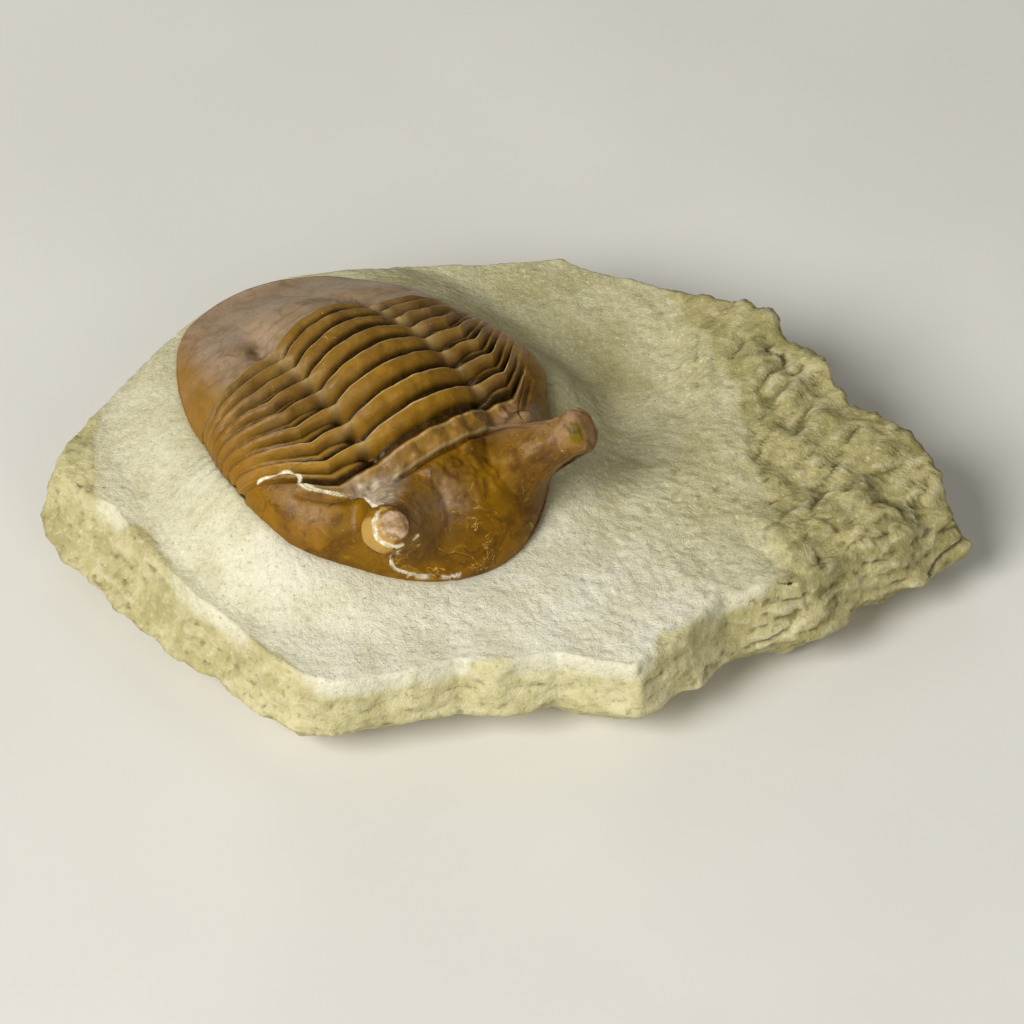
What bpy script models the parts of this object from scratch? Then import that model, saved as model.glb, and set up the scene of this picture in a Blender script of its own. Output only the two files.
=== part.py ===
"""A trilobite fossil, an arched Asaphus, on the loose slab of limestone that it was freed from.

Lengths are in millimetres here, and become metres where a mesh is made. Two frames are used:
- The slab's frame has +X along the slab, +Y to its back and +Z up, with Z = 0 on its cleared top.
- The body's frame follows the animal. u runs forward from the joint behind the head, v to the
  animal's own left, and w from its underside up to its back. on_slab() bends it over the arch.
The finished object is moved so that its origin is in the middle of the slab's underside.
"""

import math

import bmesh
import bpy
import numpy as np

MM = 0.001
GAP = 0.3  # clear space between a piece and its neighbours

# The arch in which the animal lies.
NECK = (-10.7, 1.2, 13.9)  # where the joint behind the head meets the hinge line
HEADING = math.radians(-53.9)  # the way it faces, from +X
HEAD_DIP = math.radians(-19.9)
ARCH = math.radians(46.8)  # turn from the head's plane to the tail's
HINGE_HEIGHT = 8.9  # the joints' hinge line, above the underside

# The thorax.
SEGMENTS = 8
FRONT_SEGMENT_LENGTH = 3.63
REAR_SEGMENT_LENGTH = 3.17
AXIS_HALF_FRONT = 8.8  # half the width of the raised middle lobe
AXIS_HALF_REAR = 8.05
THORAX_HALF_FRONT = 22.6
THORAX_HALF_REAR = 22.1
RING_HEIGHT = 2.7  # the middle lobe, above the sides
SWEEP_FROM = 14.0  # out from here, the joints bend backward
SWEEP_FRONT = 9.8
SWEEP_POWER = 1.15
SWEEP_REAR = 1.0

# The dome that all plates share: height above the underside, edge and fall to the sides.
EDGE_THICKNESS = 0.9
DOME_HEIGHT = 8.2
DOME_OUT = 3.1  # powers of the dome's section
DOME_DOWN = 1.75

# The head and the tail, each ending in half an ellipse.
HEAD_WIDEST = -6.7  # u of the cheeks' rear corners
HEAD_HALF_WIDTH = 22.6
HEAD_LENGTH = 25.1
HEAD_POWER = 1.85  # a little under an ellipse, so that its front tapers
TAIL_LENGTH = 24.3
TAIL_EDGE_LIFT = 9.5  # the tail's rear edge, above the plane of its corners
TAIL_SWELL = 1.8

# The animal was pressed out of true. How far its right and left sides lie out, as (u, distance).
FLARE_RIGHT = (
    (-50, -2.0), (-44, -2.2), (-36, -1.8), (-28, -0.9), (-22, 0.4), (-17, 1.2), (-9, 1.4), (-2.6, 1.4),
    (2, 1.7), (5.5, 1.1), (9.6, 0.1), (14, 0.0),
)
FLARE_LEFT = ((-30, -0.6), (-20, -0.5), (-9, 0.6), (-4, 0.5), (2, -0.8), (6, -1.0))

# The eyes, on short stalks.
EYE_ROOT = (8.6, 10.3, 7.4)
EYE_TIP = (11.4, 16.8, 14.7)
EYE_RADII = ((0.0, 5.6), (0.2, 4.5), (0.42, 3.2), (0.66, 2.8), (0.84, 2.9), (0.95, 2.3), (1.0, 1.2))
EYE_SIDES = 16

# The facial suture, from the head's rear edge to its front, as (u, distance from the midline, lean).
# A lean of 1 makes the cut follow the eye stalk, so that the eye's outer face stays with the cheek.
SUTURE = (
    (-9.0, 18.4, 0.0),
    (-5.0, 18.5, 0.0),
    (-2.7, 18.6, 0.0),
    (-0.9, 17.3, 0.0),
    (1.0, 15.8, 0.0),
    (3.0, 14.0, 0.0),
    (5.2, 12.6, 0.6),
    (7.0, 11.9, 1.0),
    (9.4, 11.9, 1.0),
    (11.2, 12.2, 0.6),
    (12.6, 12.8, 0.0),
    (15.5, 12.0, 0.0),
)
SUTURE_LEVELS = (-4.0, 7.8, 10.5, 13.0, 16.0, 20.0)  # w up the cut, which leans from the second on

# Height along one segment, as (share of its length from the front, height).
RING_STEPS = ((0.0, -0.55), (0.17, -0.75), (0.36, -0.1), (0.62, 0.25), (0.86, 0.4), (1.0, -0.25))
PLEURA_STEPS = ((0.0, -0.35), (0.17, 0.2), (0.36, 0.1), (0.62, -0.5), (0.86, 0.25), (1.0, -0.35))
FURROW_DEPTH = 0.5  # between the middle lobe and the sides
FURROW_HALF = 1.1

# The slab.
SLAB_DEPTH = 16.0
WAIST_DEPTH = 9.0  # where the slab is widest
BASE_INSET = 8.5
WAIST = (
    (62.4, 2.2), (60.6, 7.4), (58.2, 11.8), (54.0, 16.6), (48.8, 20.0), (46.2, 26.6), (41.0, 31.0),
    (38.2, 37.0), (32.6, 41.4), (21.4, 47.6), (12.8, 50.3), (8.4, 52.9), (-4.6, 51.6), (-16.1, 51.5),
    (-25.0, 48.6), (-35.0, 45.4), (-42.0, 41.4), (-47.6, 35.4), (-53.0, 30.0), (-58.6, 20.6), (-62.9, 13.0),
    (-65.0, 8.4), (-62.4, 1.6), (-55.8, -6.7), (-50.0, -13.1), (-44.3, -19.1), (-38.8, -23.3),
    (-33.2, -29.2), (-27.9, -32.1), (-23.3, -32.4), (-14.8, -30.5), (-6.9, -28.4), (-1.6, -29.2),
    (6.3, -26.9), (11.6, -28.2), (16.9, -29.1), (19.6, -26.6), (25.0, -23.5), (30.5, -17.3),
    (41.3, -14.7), (49.9, -6.9), (55.4, -4.4),
)
# How far the top edge lies inside the waist, as (bearing from the animal in degrees, inset).
TOP_INSET = (
    (-180, 1.6), (-174, 1.6), (-168, 4.0), (-158, 6.5), (-148, 5.5), (-126, 4.0), (-105, 3.0), (-92, 0.8),
    (-80, 0.8), (-70, 1.5), (-54, 0.8), (-46, 1.0), (-35, 3.0), (-20, 3.5), (-12, 3.5), (-8, 1.8), (180, 1.6),
)
EMBED = 0.6  # how far the stone rises past the animal's lower edge
EDGE_DROP = 0.8  # rounding of the top edge
APRON = 11.0  # reach of the stone's slope up to the animal
STATIONS = 78  # round the slab


def segment_lengths():
    return np.linspace(FRONT_SEGMENT_LENGTH, REAR_SEGMENT_LENGTH, SEGMENTS)


THORAX_LENGTH = float(segment_lengths().sum())
JOINTS = np.concatenate([[0.0], np.cumsum(segment_lengths())])  # distance of each joint behind the head
ARCH_RADIUS = THORAX_LENGTH / ARCH


# ---- The body's frame ----


def pressed(u, v, w):
    """How far v moves where the animal's sides were pressed out or in, its eyes apart."""
    right = np.interp(u, *zip(*FLARE_RIGHT)) * smooth_step(-v, 7, 21)
    left = np.interp(u, *zip(*FLARE_LEFT)) * smooth_step(v, 4, 16)
    return (left - right) * (1 - smooth_step(w, 9, 13))


def on_slab(u, v, w):
    """The slab-frame points of body-frame points."""
    u, v, w = np.broadcast_arrays(np.asarray(u, float), v, w)
    v = v + pressed(u, v, w)
    back = np.clip(-u, 0, THORAX_LENGTH)
    beyond = -u - back
    pitch = HEAD_DIP + back / ARCH_RADIUS
    along = ARCH_RADIUS * (math.sin(HEAD_DIP) - np.sin(pitch)) - beyond * np.cos(pitch)
    rise = ARCH_RADIUS * (np.cos(pitch) - math.cos(HEAD_DIP)) - beyond * np.sin(pitch)
    along = along - (w - HINGE_HEIGHT) * np.sin(pitch)
    rise = rise + (w - HINGE_HEIGHT) * np.cos(pitch)
    ahead, left = (math.cos(HEADING), math.sin(HEADING)), (-math.sin(HEADING), math.cos(HEADING))
    return np.stack(
        [NECK[0] + along * ahead[0] + v * left[0], NECK[1] + along * ahead[1] + v * left[1], NECK[2] + rise],
        axis=-1,
    )


def smooth_step(x, low, high):
    t = np.clip((x - low) / (high - low), 0, 1)
    return t * t * (3 - 2 * t)


def dome(reach):
    """Share of the dome's height at a share of the way out to its edge."""
    return (1 - np.clip(np.abs(reach), 0, 1) ** DOME_OUT) ** (1 / DOME_DOWN)


def thorax_half(back):
    return np.interp(back, [0, THORAX_LENGTH], [THORAX_HALF_FRONT, THORAX_HALF_REAR])


def axis_half(back):
    return np.interp(back, [0, THORAX_LENGTH], [AXIS_HALF_FRONT, AXIS_HALF_REAR])


def joint_line(number, v):
    """u of a joint at v: 0 is behind the head, and SEGMENTS is before the tail."""
    half = thorax_half(JOINTS[number])
    out = np.clip((np.abs(v) - SWEEP_FROM) / (half - SWEEP_FROM), 0, 1)
    sweep = np.interp(number, [0, SEGMENTS], [SWEEP_FRONT, SWEEP_REAR])
    return -JOINTS[number] - sweep * out**SWEEP_POWER


def underside(u):
    """w of the lower edge: level, and rising towards the back of the tail."""
    behind = np.clip((-np.asarray(u, float) - THORAX_LENGTH) / TAIL_LENGTH, 0, 1)
    return TAIL_EDGE_LIFT * behind


def furrow(v, half):
    return -FURROW_DEPTH * np.exp(-(((np.abs(v) - half) / FURROW_HALF) ** 2))


# ---- Height of each plate's back ----


def thorax_back(share, back, v):
    """w on a segment, at a share of its length and at a distance behind the head."""
    half, edge = axis_half(back), thorax_half(back)
    ring = RING_HEIGHT * np.clip(1 - (v / half) ** 2, 0, None)
    on_ring = 1 - smooth_step(np.abs(v), half - 0.6, half + 0.6)
    steps = on_ring * np.interp(share, *zip(*RING_STEPS))
    fade = 1 - 0.6 * smooth_step(np.abs(v), 16, edge)
    steps = steps + (1 - on_ring) * fade * np.interp(share, *zip(*PLEURA_STEPS))
    return EDGE_THICKNESS + DOME_HEIGHT * dome(v / edge) + ring + steps + furrow(v, half)


def head_back(u, v):
    """w on the head: a dome, with the glabella, the occipital ring and the borders' furrows."""
    ahead = np.clip((u - HEAD_WIDEST) / HEAD_LENGTH, 0, 1)
    reach = (ahead**HEAD_POWER + np.abs(v / HEAD_HALF_WIDTH) ** HEAD_POWER) ** (1 / HEAD_POWER)
    half = np.interp(u, [0, 4, 7, 12, 16], [AXIS_HALF_FRONT, 8.4, 8.4, 10.6, 9.0])
    height = np.interp(u, [0, 3.5, 8, 12.5, 16.5], [RING_HEIGHT, 2.2, 1.9, 1.3, 0.1])
    glabella = height * np.clip(1 - (v / half) ** 2, 0, None) ** 0.8
    occipital = -0.6 * np.exp(-(((u - 3.4) / 0.7) ** 2)) * (1 - smooth_step(np.abs(v), half - 1, half + 2))
    border = -0.4 * np.exp(-(((u - joint_line(0, v) - 2.6) / 0.7) ** 2)) * smooth_step(np.abs(v), 9, 11)
    border = border * (1 - smooth_step(np.abs(v), 17, 20))
    return EDGE_THICKNESS + DOME_HEIGHT * dome(reach) + glabella + occipital + border


def tail_back(u, v):
    """w on the tail: a dome, with its low axis, a front rib and two faint rings."""
    behind = np.clip((-u - THORAX_LENGTH) / TAIL_LENGTH, 0, 1)
    reach = np.sqrt(behind**2 + (v / THORAX_HALF_REAR) ** 2)
    half = np.interp(behind, [0, 0.8, 1], [AXIS_HALF_REAR, 4.2, 3.5])
    height = np.interp(behind, [0, 0.12, 0.5, 0.85], [2.4, 1.6, 0.8, 0.0])
    axis = height * np.clip(1 - (v / half) ** 2, 0, None)
    hollow = -0.7 * np.exp(-(((np.abs(v) - half - 0.8) / 2.0) ** 2)) * (1 - smooth_step(behind, 0.05, 0.7))
    rib = -0.5 * np.exp(-(((behind - 0.16) / 0.035) ** 2)) * (1 - smooth_step(np.abs(v), 15, 21))
    rise = (DOME_HEIGHT - underside(u)) * dome(reach)
    swell = TAIL_SWELL * (1 - np.clip(reach, 0, 1) ** 2) * smooth_step(behind, 0, 0.35)
    return underside(u) + EDGE_THICKNESS + rise + swell + axis + hollow + rib


def half_width(u, grow=0.0):
    """Half the animal's width at u, with its outline grown by a margin."""
    ahead = np.clip((u - HEAD_WIDEST) / (HEAD_LENGTH + grow), 0, 1)
    behind = np.clip((-u - THORAX_LENGTH) / (TAIL_LENGTH + grow), 0, 1)
    middle = np.interp(-u, [-HEAD_WIDEST, THORAX_LENGTH], [HEAD_HALF_WIDTH, THORAX_HALF_REAR]) + grow
    return middle * (1 - ahead**HEAD_POWER) ** (1 / HEAD_POWER) * np.sqrt(1 - behind**2)


def outline_stations(count, grow=0.0):
    """u of stations from the front of the head to the back of the tail, crowded at both ends."""
    turn = np.radians(np.linspace(5, 90, count))
    head = HEAD_WIDEST + (HEAD_LENGTH + grow) * np.cos(turn)
    middle = -np.linspace(-HEAD_WIDEST, THORAX_LENGTH, 8)[1:-1]
    tail = -THORAX_LENGTH - (TAIL_LENGTH + grow) * np.cos(turn[::-1])
    return np.concatenate([head, middle, tail])


# ---- The slab's surface ----


def animal_edge():
    """Slab-frame points round the animal's lower edge."""
    u = outline_stations(24)
    half = half_width(u)
    left = on_slab(u, half, underside(u))
    right = on_slab(u, -half, underside(u))
    return np.concatenate([left, right[::-1]])


EDGE_POINTS = animal_edge()
CENTRE = (EDGE_POINTS[:, :2].min(axis=0) + EDGE_POINTS[:, :2].max(axis=0)) / 2


def bearings_and_reach(points):
    offsets = np.asarray(points, float)[:, :2] - CENTRE
    return np.arctan2(offsets[:, 1], offsets[:, 0]), np.hypot(offsets[:, 0], offsets[:, 1])


def reach_at(points, bearings):
    """Distance from CENTRE to a closed outline along each bearing."""
    known, reach = bearings_and_reach(points)
    return np.interp(bearings, known, reach, period=2 * math.pi)


def roughness(x, y, z):
    """A fixed unevenness, about -1 to 1, of lumps 5 to 15 mm across."""
    waves = (
        np.sin(0.41 * x + 1.3 * np.sin(0.23 * y + 0.5)),
        np.sin(0.47 * y - 0.9 * np.sin(0.31 * x) + 2.0),
        np.sin(0.63 * (x + y) + 0.8 * z + 1.0),
        np.sin(0.9 * x - 0.7 * y - 0.6 * z),
    )
    return 0.3 * sum(waves)


def open_ground(x, y):
    """Height of the slab's top away from the animal."""
    bowl = -2.6 * np.exp(-(((x - 14) / 11) ** 2 + ((y - 27) / 13) ** 2))
    shoulder = 2.4 * smooth_step(x, 22, 28) * np.exp(-(((y - 31) / 15) ** 2))
    right_slope = -3.5 * smooth_step(x, 46, 63) * (1 - smooth_step(y, 2, 12))
    left_slope = -2.5 * smooth_step(-x, 56, 66) * (1 - smooth_step(y, 4, 14))
    natural = smooth_step(x, 30, 38)
    return bowl + shoulder + right_slope + left_slope + (0.15 + 0.9 * natural) * roughness(x, y, 0)


def ground(x, y, inland=1.0):
    """Height of the slab's top, with the slope that rises to the animal's lower edge.

    inland is 0 at the slab's own edge, where that slope gives out, and 1 away from it.
    """
    gaps = np.hypot(x[..., None] - EDGE_POINTS[:, 0], y[..., None] - EDGE_POINTS[:, 1])
    nearest = gaps.argmin(axis=-1)
    near = inland * (1 - smooth_step(gaps.min(axis=-1), 0, APRON))
    level = open_ground(x, y)
    return level + near * (EDGE_POINTS[nearest, 2] + EMBED - level)


def slab_rings():
    """Rings of points from the slab's underside up its sides and in over its top."""
    corners = np.array(WAIST + WAIST[:1])
    walked = np.concatenate([[0], np.cumsum(np.hypot(*np.diff(corners, axis=0).T))])
    at = np.linspace(0, walked[-1], STATIONS, endpoint=False)
    path = np.stack([np.interp(at, walked, corners[:, 0]), np.interp(at, walked, corners[:, 1])], axis=1)
    bearing, waist = bearings_and_reach(path)
    inset_at, inset = zip(*TOP_INSET)
    top = waist - np.interp(np.degrees(bearing), inset_at, inset)
    animal = reach_at(EDGE_POINTS, bearing)

    def ring(reach):
        return CENTRE[0] + reach * np.cos(bearing), CENTRE[1] + reach * np.sin(bearing)

    def side(reach, z, lumps):
        x, y = ring(reach)
        x, y = ring(reach + lumps * roughness(x, y, z))
        return np.stack([x, y, np.broadcast_to(z, x.shape)], axis=1)

    def over(reach, inland=1.0):
        x, y = ring(reach)
        return np.stack([x, y, ground(x, y, inland)], axis=1)

    top_edge = over(top, 0.0) - (0, 0, EDGE_DROP)
    rings = [
        side(waist - BASE_INSET, -SLAB_DEPTH, 0.0),
        side(waist - 4.4, -SLAB_DEPTH + 3.0, 0.6),
        side(waist, -WAIST_DEPTH, 0.6),
        side(0.45 * waist + 0.55 * top, 0.45 * top_edge[:, 2] - 0.55 * WAIST_DEPTH, 0.7),
        top_edge,
    ]
    for share in (0.94, 0.78, 0.6, 0.44, 0.3, 0.18, 0.08):
        rings.append(over(animal + share * (top - animal), smooth_step(1 - share, 0, 0.3)))
    rings += [over(animal * share) for share in (1.0, 0.75, 0.4)]
    return rings


# ---- Meshes ----


def make_object(name, points, faces, material, offset=(0.0, 0.0, 0.0)):
    mesh = bpy.data.meshes.new(name)
    mesh.from_pydata([tuple((np.asarray(p) + offset) * MM) for p in points], [], faces)
    shape = bmesh.new()
    shape.from_mesh(mesh)
    bmesh.ops.recalc_face_normals(shape, faces=shape.faces)
    shape.to_mesh(mesh)
    shape.free()
    mesh.shade_smooth()
    mesh.set_sharp_from_angle(angle=math.radians(40))
    if material:
        mesh.materials.append(material)
    obj = bpy.data.objects.new(name, mesh)
    bpy.context.scene.collection.objects.link(obj)
    return obj


def lofted(loops, cap_start=True, cap_end=True):
    """Points and faces of a skin through loops that have the same number of points."""
    size = len(loops[0])
    points = np.concatenate(loops)
    faces = []
    for first in range(0, (len(loops) - 1) * size, size):
        for k in range(size):
            a, b = first + k, first + (k + 1) % size
            faces += [(a, b, b + size), (a, b + size, a + size)]
    if cap_start:
        faces.append(tuple(range(size)))
    if cap_end:
        faces.append(tuple(range(len(points) - size, len(points))))
    return points, faces


def make_material(name, colour, roughness_value):
    material = bpy.data.materials.new(name)
    material.use_nodes = True
    surface = material.node_tree.nodes["Principled BSDF"]
    surface.inputs["Base Color"].default_value = (*colour, 1)
    surface.inputs["Roughness"].default_value = roughness_value
    surface.inputs["Metallic"].default_value = 0.0
    return material


def make_cutter(name, loops, offset):
    cutter = make_object(name, *lofted(loops), None, offset)
    cutter.hide_render = True
    cutter.display_type = "WIRE"
    return cutter


def add_boolean(obj, other, operation):
    step = obj.modifiers.new(f"{operation.lower()} {other.name}", "BOOLEAN")
    step.object = other
    step.operation = operation
    step.solver = "EXACT"


# ---- The pieces ----


def lateral_stations(half, edge):
    """v from the right edge to the left, crowded where the side turns down."""
    flank = half + (edge - half) * np.array([0.1, 0.3, 0.5, 0.66, 0.79, 0.89, 0.96, 1.0])
    ring = half * np.linspace(-1, 1, 9)
    return np.concatenate([-flank[::-1], ring, flank])


def segment_loops(number):
    """Loops round one thorax segment, one at each lateral station."""
    front, rear = JOINTS[number - 1], JOINTS[number]
    shares = np.array([share for share, _ in RING_STEPS])
    back = front + shares * (rear - front)
    stations = lateral_stations(axis_half((front + rear) / 2), thorax_half((front + rear) / 2))
    loops = []
    for v in stations:
        start = joint_line(number - 1, v) - GAP / 2
        end = joint_line(number, v) + GAP / 2
        u = start + shares * (end - start)
        top = on_slab(u, v, thorax_back(shares, back, v))
        bottom = on_slab(np.array([end, start]), v, 0.0)
        loops.append(np.concatenate([top, bottom]))
    return loops


def plate_loops(rear_line, front_line, height, steps):
    """Loops across an end plate, each going out along its back and home along its underside."""
    loops = []
    for (u0, v0), (u1, v1) in zip(rear_line, front_line):
        share = np.sin(np.linspace(0, math.pi / 2, steps))
        u, v = u0 + share * (u1 - u0), v0 + share * (v1 - v0)
        top = on_slab(u, v, height(u, v))
        low = np.array([1.0, 0.66, 0.33, 0.0])
        low_u, low_v = u0 + low * (u1 - u0), v0 + low * (v1 - v0)
        loops.append(np.concatenate([top, on_slab(low_u, low_v, underside(low_u))]))
    return loops


def end_plate_lines(joint, side, widest, length, half, power, count):
    """Matching points along a plate's joint and round its outer edge. side is 1 ahead, -1 behind."""
    turns = np.radians(np.linspace(-88, 88, count))
    ahead, out = np.cos(turns) ** (2 / power), np.abs(np.sin(turns)) ** (2 / power)
    edge_line = np.stack([widest + side * length * ahead, half * np.sign(turns) * out], axis=1)
    joint_points = [(float(joint_line(joint, v)) + side * GAP / 2, v) for _, v in edge_line]
    return joint_points, edge_line


def head_loops():
    lines = end_plate_lines(0, 1, HEAD_WIDEST, HEAD_LENGTH, HEAD_HALF_WIDTH, HEAD_POWER, 33)
    return plate_loops(*lines, head_back, 13)


def tail_loops():
    corner = -THORAX_LENGTH - SWEEP_REAR
    length = TAIL_LENGTH - SWEEP_REAR
    lines = end_plate_lines(SEGMENTS, -1, corner, length, THORAX_HALF_REAR, 2.0, 27)
    return plate_loops(*lines, tail_back, 10)


def eye_loops(side):
    """Rings along one eye stalk. side is 1 on the animal's left and -1 on its right."""
    root, tip = np.array(EYE_ROOT), np.array(EYE_TIP)
    along = (tip - root) / np.linalg.norm(tip - root)
    across = np.cross(along, (1.0, 0.0, 0.0))
    across /= np.linalg.norm(across)
    ahead = np.cross(across, along)
    turn = np.linspace(0, 2 * math.pi, EYE_SIDES, endpoint=False)[:, None]
    loops = []
    for share, radius in EYE_RADII:
        ring = root + share * (tip - root) + radius * (np.cos(turn) * across + np.sin(turn) * ahead)
        loops.append(on_slab(ring[:, 0], side * ring[:, 1], ring[:, 2]))
    return loops


def suture_loops(clear):
    """A block over the part of the head between the sutures, its sides moved out by clear."""
    bends = np.array(SUTURE)
    at = np.linspace(0, len(bends) - 1, 2 * len(bends) - 1)
    fine = np.stack([np.interp(at, np.arange(len(bends)), column) for column in bends.T], axis=1)
    fine[1:-1] = (fine[:-2] + 2 * fine[1:-1] + fine[2:]) / 4
    path, lean = fine[:, :2], fine[:, 2:]
    stalk = np.subtract(EYE_TIP, EYE_ROOT)
    loops = []
    for w in SUTURE_LEVELS:
        half = path + max(w - SUTURE_LEVELS[1], 0) * lean * stalk[:2] / stalk[2]
        ways = np.gradient(half, axis=0)
        half = half + clear * np.stack([-ways[:, 1], ways[:, 0]], axis=1) / np.hypot(*ways.T)[:, None]
        half[0, 0] -= 4
        half[-1, 0] += 4
        whole = np.concatenate([half, half[::-1] * (1, -1)])
        loops.append(on_slab(whole[:, 0], whole[:, 1], w))
    return loops


def half_loops(side):
    """A block over the animal's left half (side 1) or right half (side -1)."""
    loops = []
    for u in (-16.0, -8.0, 0.0, 22.0):
        v, w = side * np.array([0.0, 30.0, 30.0, 0.0]), np.array([-5.0, -5.0, 24.0, 24.0])
        loops.append(on_slab(u, v, w))
    return loops


def seat_loops():
    """The animal's outline grown by the gap, from just below its underside to well above it."""
    loops = []
    for u in outline_stations(11, GAP):
        half, low = half_width(u, GAP), underside(u) - GAP
        v, w = half * np.array([-1, 1, 1, -1]), np.array([low, low, 26.0, 26.0])
        loops.append(on_slab(u, v, w))
    return loops


def make_head(name, material, offset):
    head = make_object(name, *lofted(head_loops()), material, offset)
    for side, eye in ((1, "left"), (-1, "right")):
        add_boolean(head, bpy.data.objects[f"cutter_eye_{eye}"], "UNION")
    return head


def main():
    for old in list(bpy.data.objects):
        bpy.data.objects.remove(old, do_unlink=True)

    stone = make_material("stone", (0.68, 0.65, 0.50), 0.9)
    honey = make_material("fossil_head", (0.28, 0.13, 0.035), 0.35)
    amber = make_material("fossil_thorax", (0.42, 0.22, 0.06), 0.35)
    taupe = make_material("fossil_tail", (0.30, 0.20, 0.10), 0.4)

    rings = slab_rings()
    every = np.concatenate(rings)
    low, high = every.min(axis=0), every.max(axis=0)
    origin = np.array([-(low[0] + high[0]) / 2, -(low[1] + high[1]) / 2, SLAB_DEPTH])

    matrix = make_object("matrix", *lofted(rings), stone, origin)
    add_boolean(matrix, make_cutter("cutter_seat", seat_loops(), origin), "DIFFERENCE")

    for number in range(1, SEGMENTS + 1):
        make_object(f"thorax_segment_{number}", *lofted(segment_loops(number)), amber, origin)
    make_object("pygidium", *lofted(tail_loops()), taupe, origin)

    make_cutter("cutter_eye_left", eye_loops(1), origin)
    make_cutter("cutter_eye_right", eye_loops(-1), origin)
    cranidium = make_head("cranidium", honey, origin)
    add_boolean(cranidium, make_cutter("cutter_between_sutures", suture_loops(0.0), origin), "INTERSECT")
    outside = make_cutter("cutter_past_sutures", suture_loops(GAP), origin)
    for side, hand in ((1, "left"), (-1, "right")):
        cheek = make_head(f"free_cheek_{hand}", honey, origin)
        add_boolean(cheek, outside, "DIFFERENCE")
        add_boolean(cheek, make_cutter(f"cutter_half_{hand}", half_loops(side), origin), "INTERSECT")


main()
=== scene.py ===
"""Looks of a trilobite fossil, an arched Asaphus, on its slab of limestone.

The fossil's plates and the slab are built again here from the same named sizes as the CAD, with many more
points and with the fine relief, and each stands for its CAD node. Shapes are worked out in millimetres in
two frames, the slab's (Z = 0 on its cleared top) and the body's (u forward, v to the animal's left, w up
from its underside), and become metres in the CAD's frame where a mesh is made.
"""

import math

import bmesh
import bpy
import numpy as np
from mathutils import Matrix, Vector
from mathutils.geometry import delaunay_2d_cdt


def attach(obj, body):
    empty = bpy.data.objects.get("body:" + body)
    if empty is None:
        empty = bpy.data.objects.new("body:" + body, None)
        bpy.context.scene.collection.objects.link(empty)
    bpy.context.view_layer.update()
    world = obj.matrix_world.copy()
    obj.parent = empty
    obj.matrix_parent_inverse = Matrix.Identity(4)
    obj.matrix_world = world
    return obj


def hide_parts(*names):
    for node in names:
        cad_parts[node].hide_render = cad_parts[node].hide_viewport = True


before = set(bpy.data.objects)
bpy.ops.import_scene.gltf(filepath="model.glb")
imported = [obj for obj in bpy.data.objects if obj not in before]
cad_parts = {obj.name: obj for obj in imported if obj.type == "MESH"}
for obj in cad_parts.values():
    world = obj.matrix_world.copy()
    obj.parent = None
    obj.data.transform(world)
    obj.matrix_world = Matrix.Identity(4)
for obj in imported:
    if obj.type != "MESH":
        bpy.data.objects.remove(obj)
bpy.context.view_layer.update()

MM = 0.001

CAMERA_RISE = math.radians(45)
CAMERA_DISTANCE = 0.6  # m
CAMERA_LENS = 156.09  # mm, before a sensor of CAMERA_SENSOR mm
CAMERA_SENSOR = 36.0
FLOOR_HALF = 3.0  # m

# ---- Sizes shared with the CAD, in mm and degrees ----

NECK = (-10.7, 1.2, 13.9)  # where the joint behind the head meets the hinge line
HEADING = math.radians(-53.9)  # the way the animal faces, from +X
HEAD_DIP = math.radians(-19.9)
ARCH = math.radians(46.8)  # turn from the head's plane to the tail's
HINGE_HEIGHT = 8.9  # the joints' hinge line, above the underside

SEGMENTS = 8
FRONT_SEGMENT_LENGTH = 3.63
REAR_SEGMENT_LENGTH = 3.17
AXIS_HALF_FRONT = 8.8  # half the width of the raised middle lobe
AXIS_HALF_REAR = 8.05
THORAX_HALF_FRONT = 22.6
THORAX_HALF_REAR = 22.1
RING_HEIGHT = 2.7  # the middle lobe, above the sides
SWEEP_FROM = 14.0  # out from here, the joints bend backward
SWEEP_FRONT = 9.8
SWEEP_POWER = 1.15
SWEEP_REAR = 1.0

# The dome that all plates share.
EDGE_THICKNESS = 0.9
DOME_HEIGHT = 8.2
DOME_OUT = 3.1  # powers of the dome's section
DOME_DOWN = 1.75

HEAD_WIDEST = -6.7  # u of the cheeks' rear corners
HEAD_HALF_WIDTH = 22.6
HEAD_LENGTH = 25.1
HEAD_POWER = 1.85  # a little under an ellipse, so that its front tapers
TAIL_LENGTH = 24.3
TAIL_EDGE_LIFT = 9.5  # the tail's rear edge, above the plane of its corners
TAIL_SWELL = 1.8

# How far the animal's right and left sides lie out of true, as (u, distance).
FLARE_RIGHT = (
    (-50, -2.0), (-44, -2.2), (-36, -1.8), (-28, -0.9), (-22, 0.4), (-17, 1.2), (-9, 1.4), (-2.6, 1.4),
    (2, 1.7), (5.5, 1.1), (9.6, 0.1), (14, 0.0),
)
FLARE_LEFT = ((-30, -0.6), (-20, -0.5), (-9, 0.6), (-4, 0.5), (2, -0.8), (6, -1.0))

# The foot and the tip of the left eye's stalk, in (u, v, w).
EYE_ROOT = (8.6, 10.3, 7.4)
EYE_TIP = (11.4, 16.8, 14.7)

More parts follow.
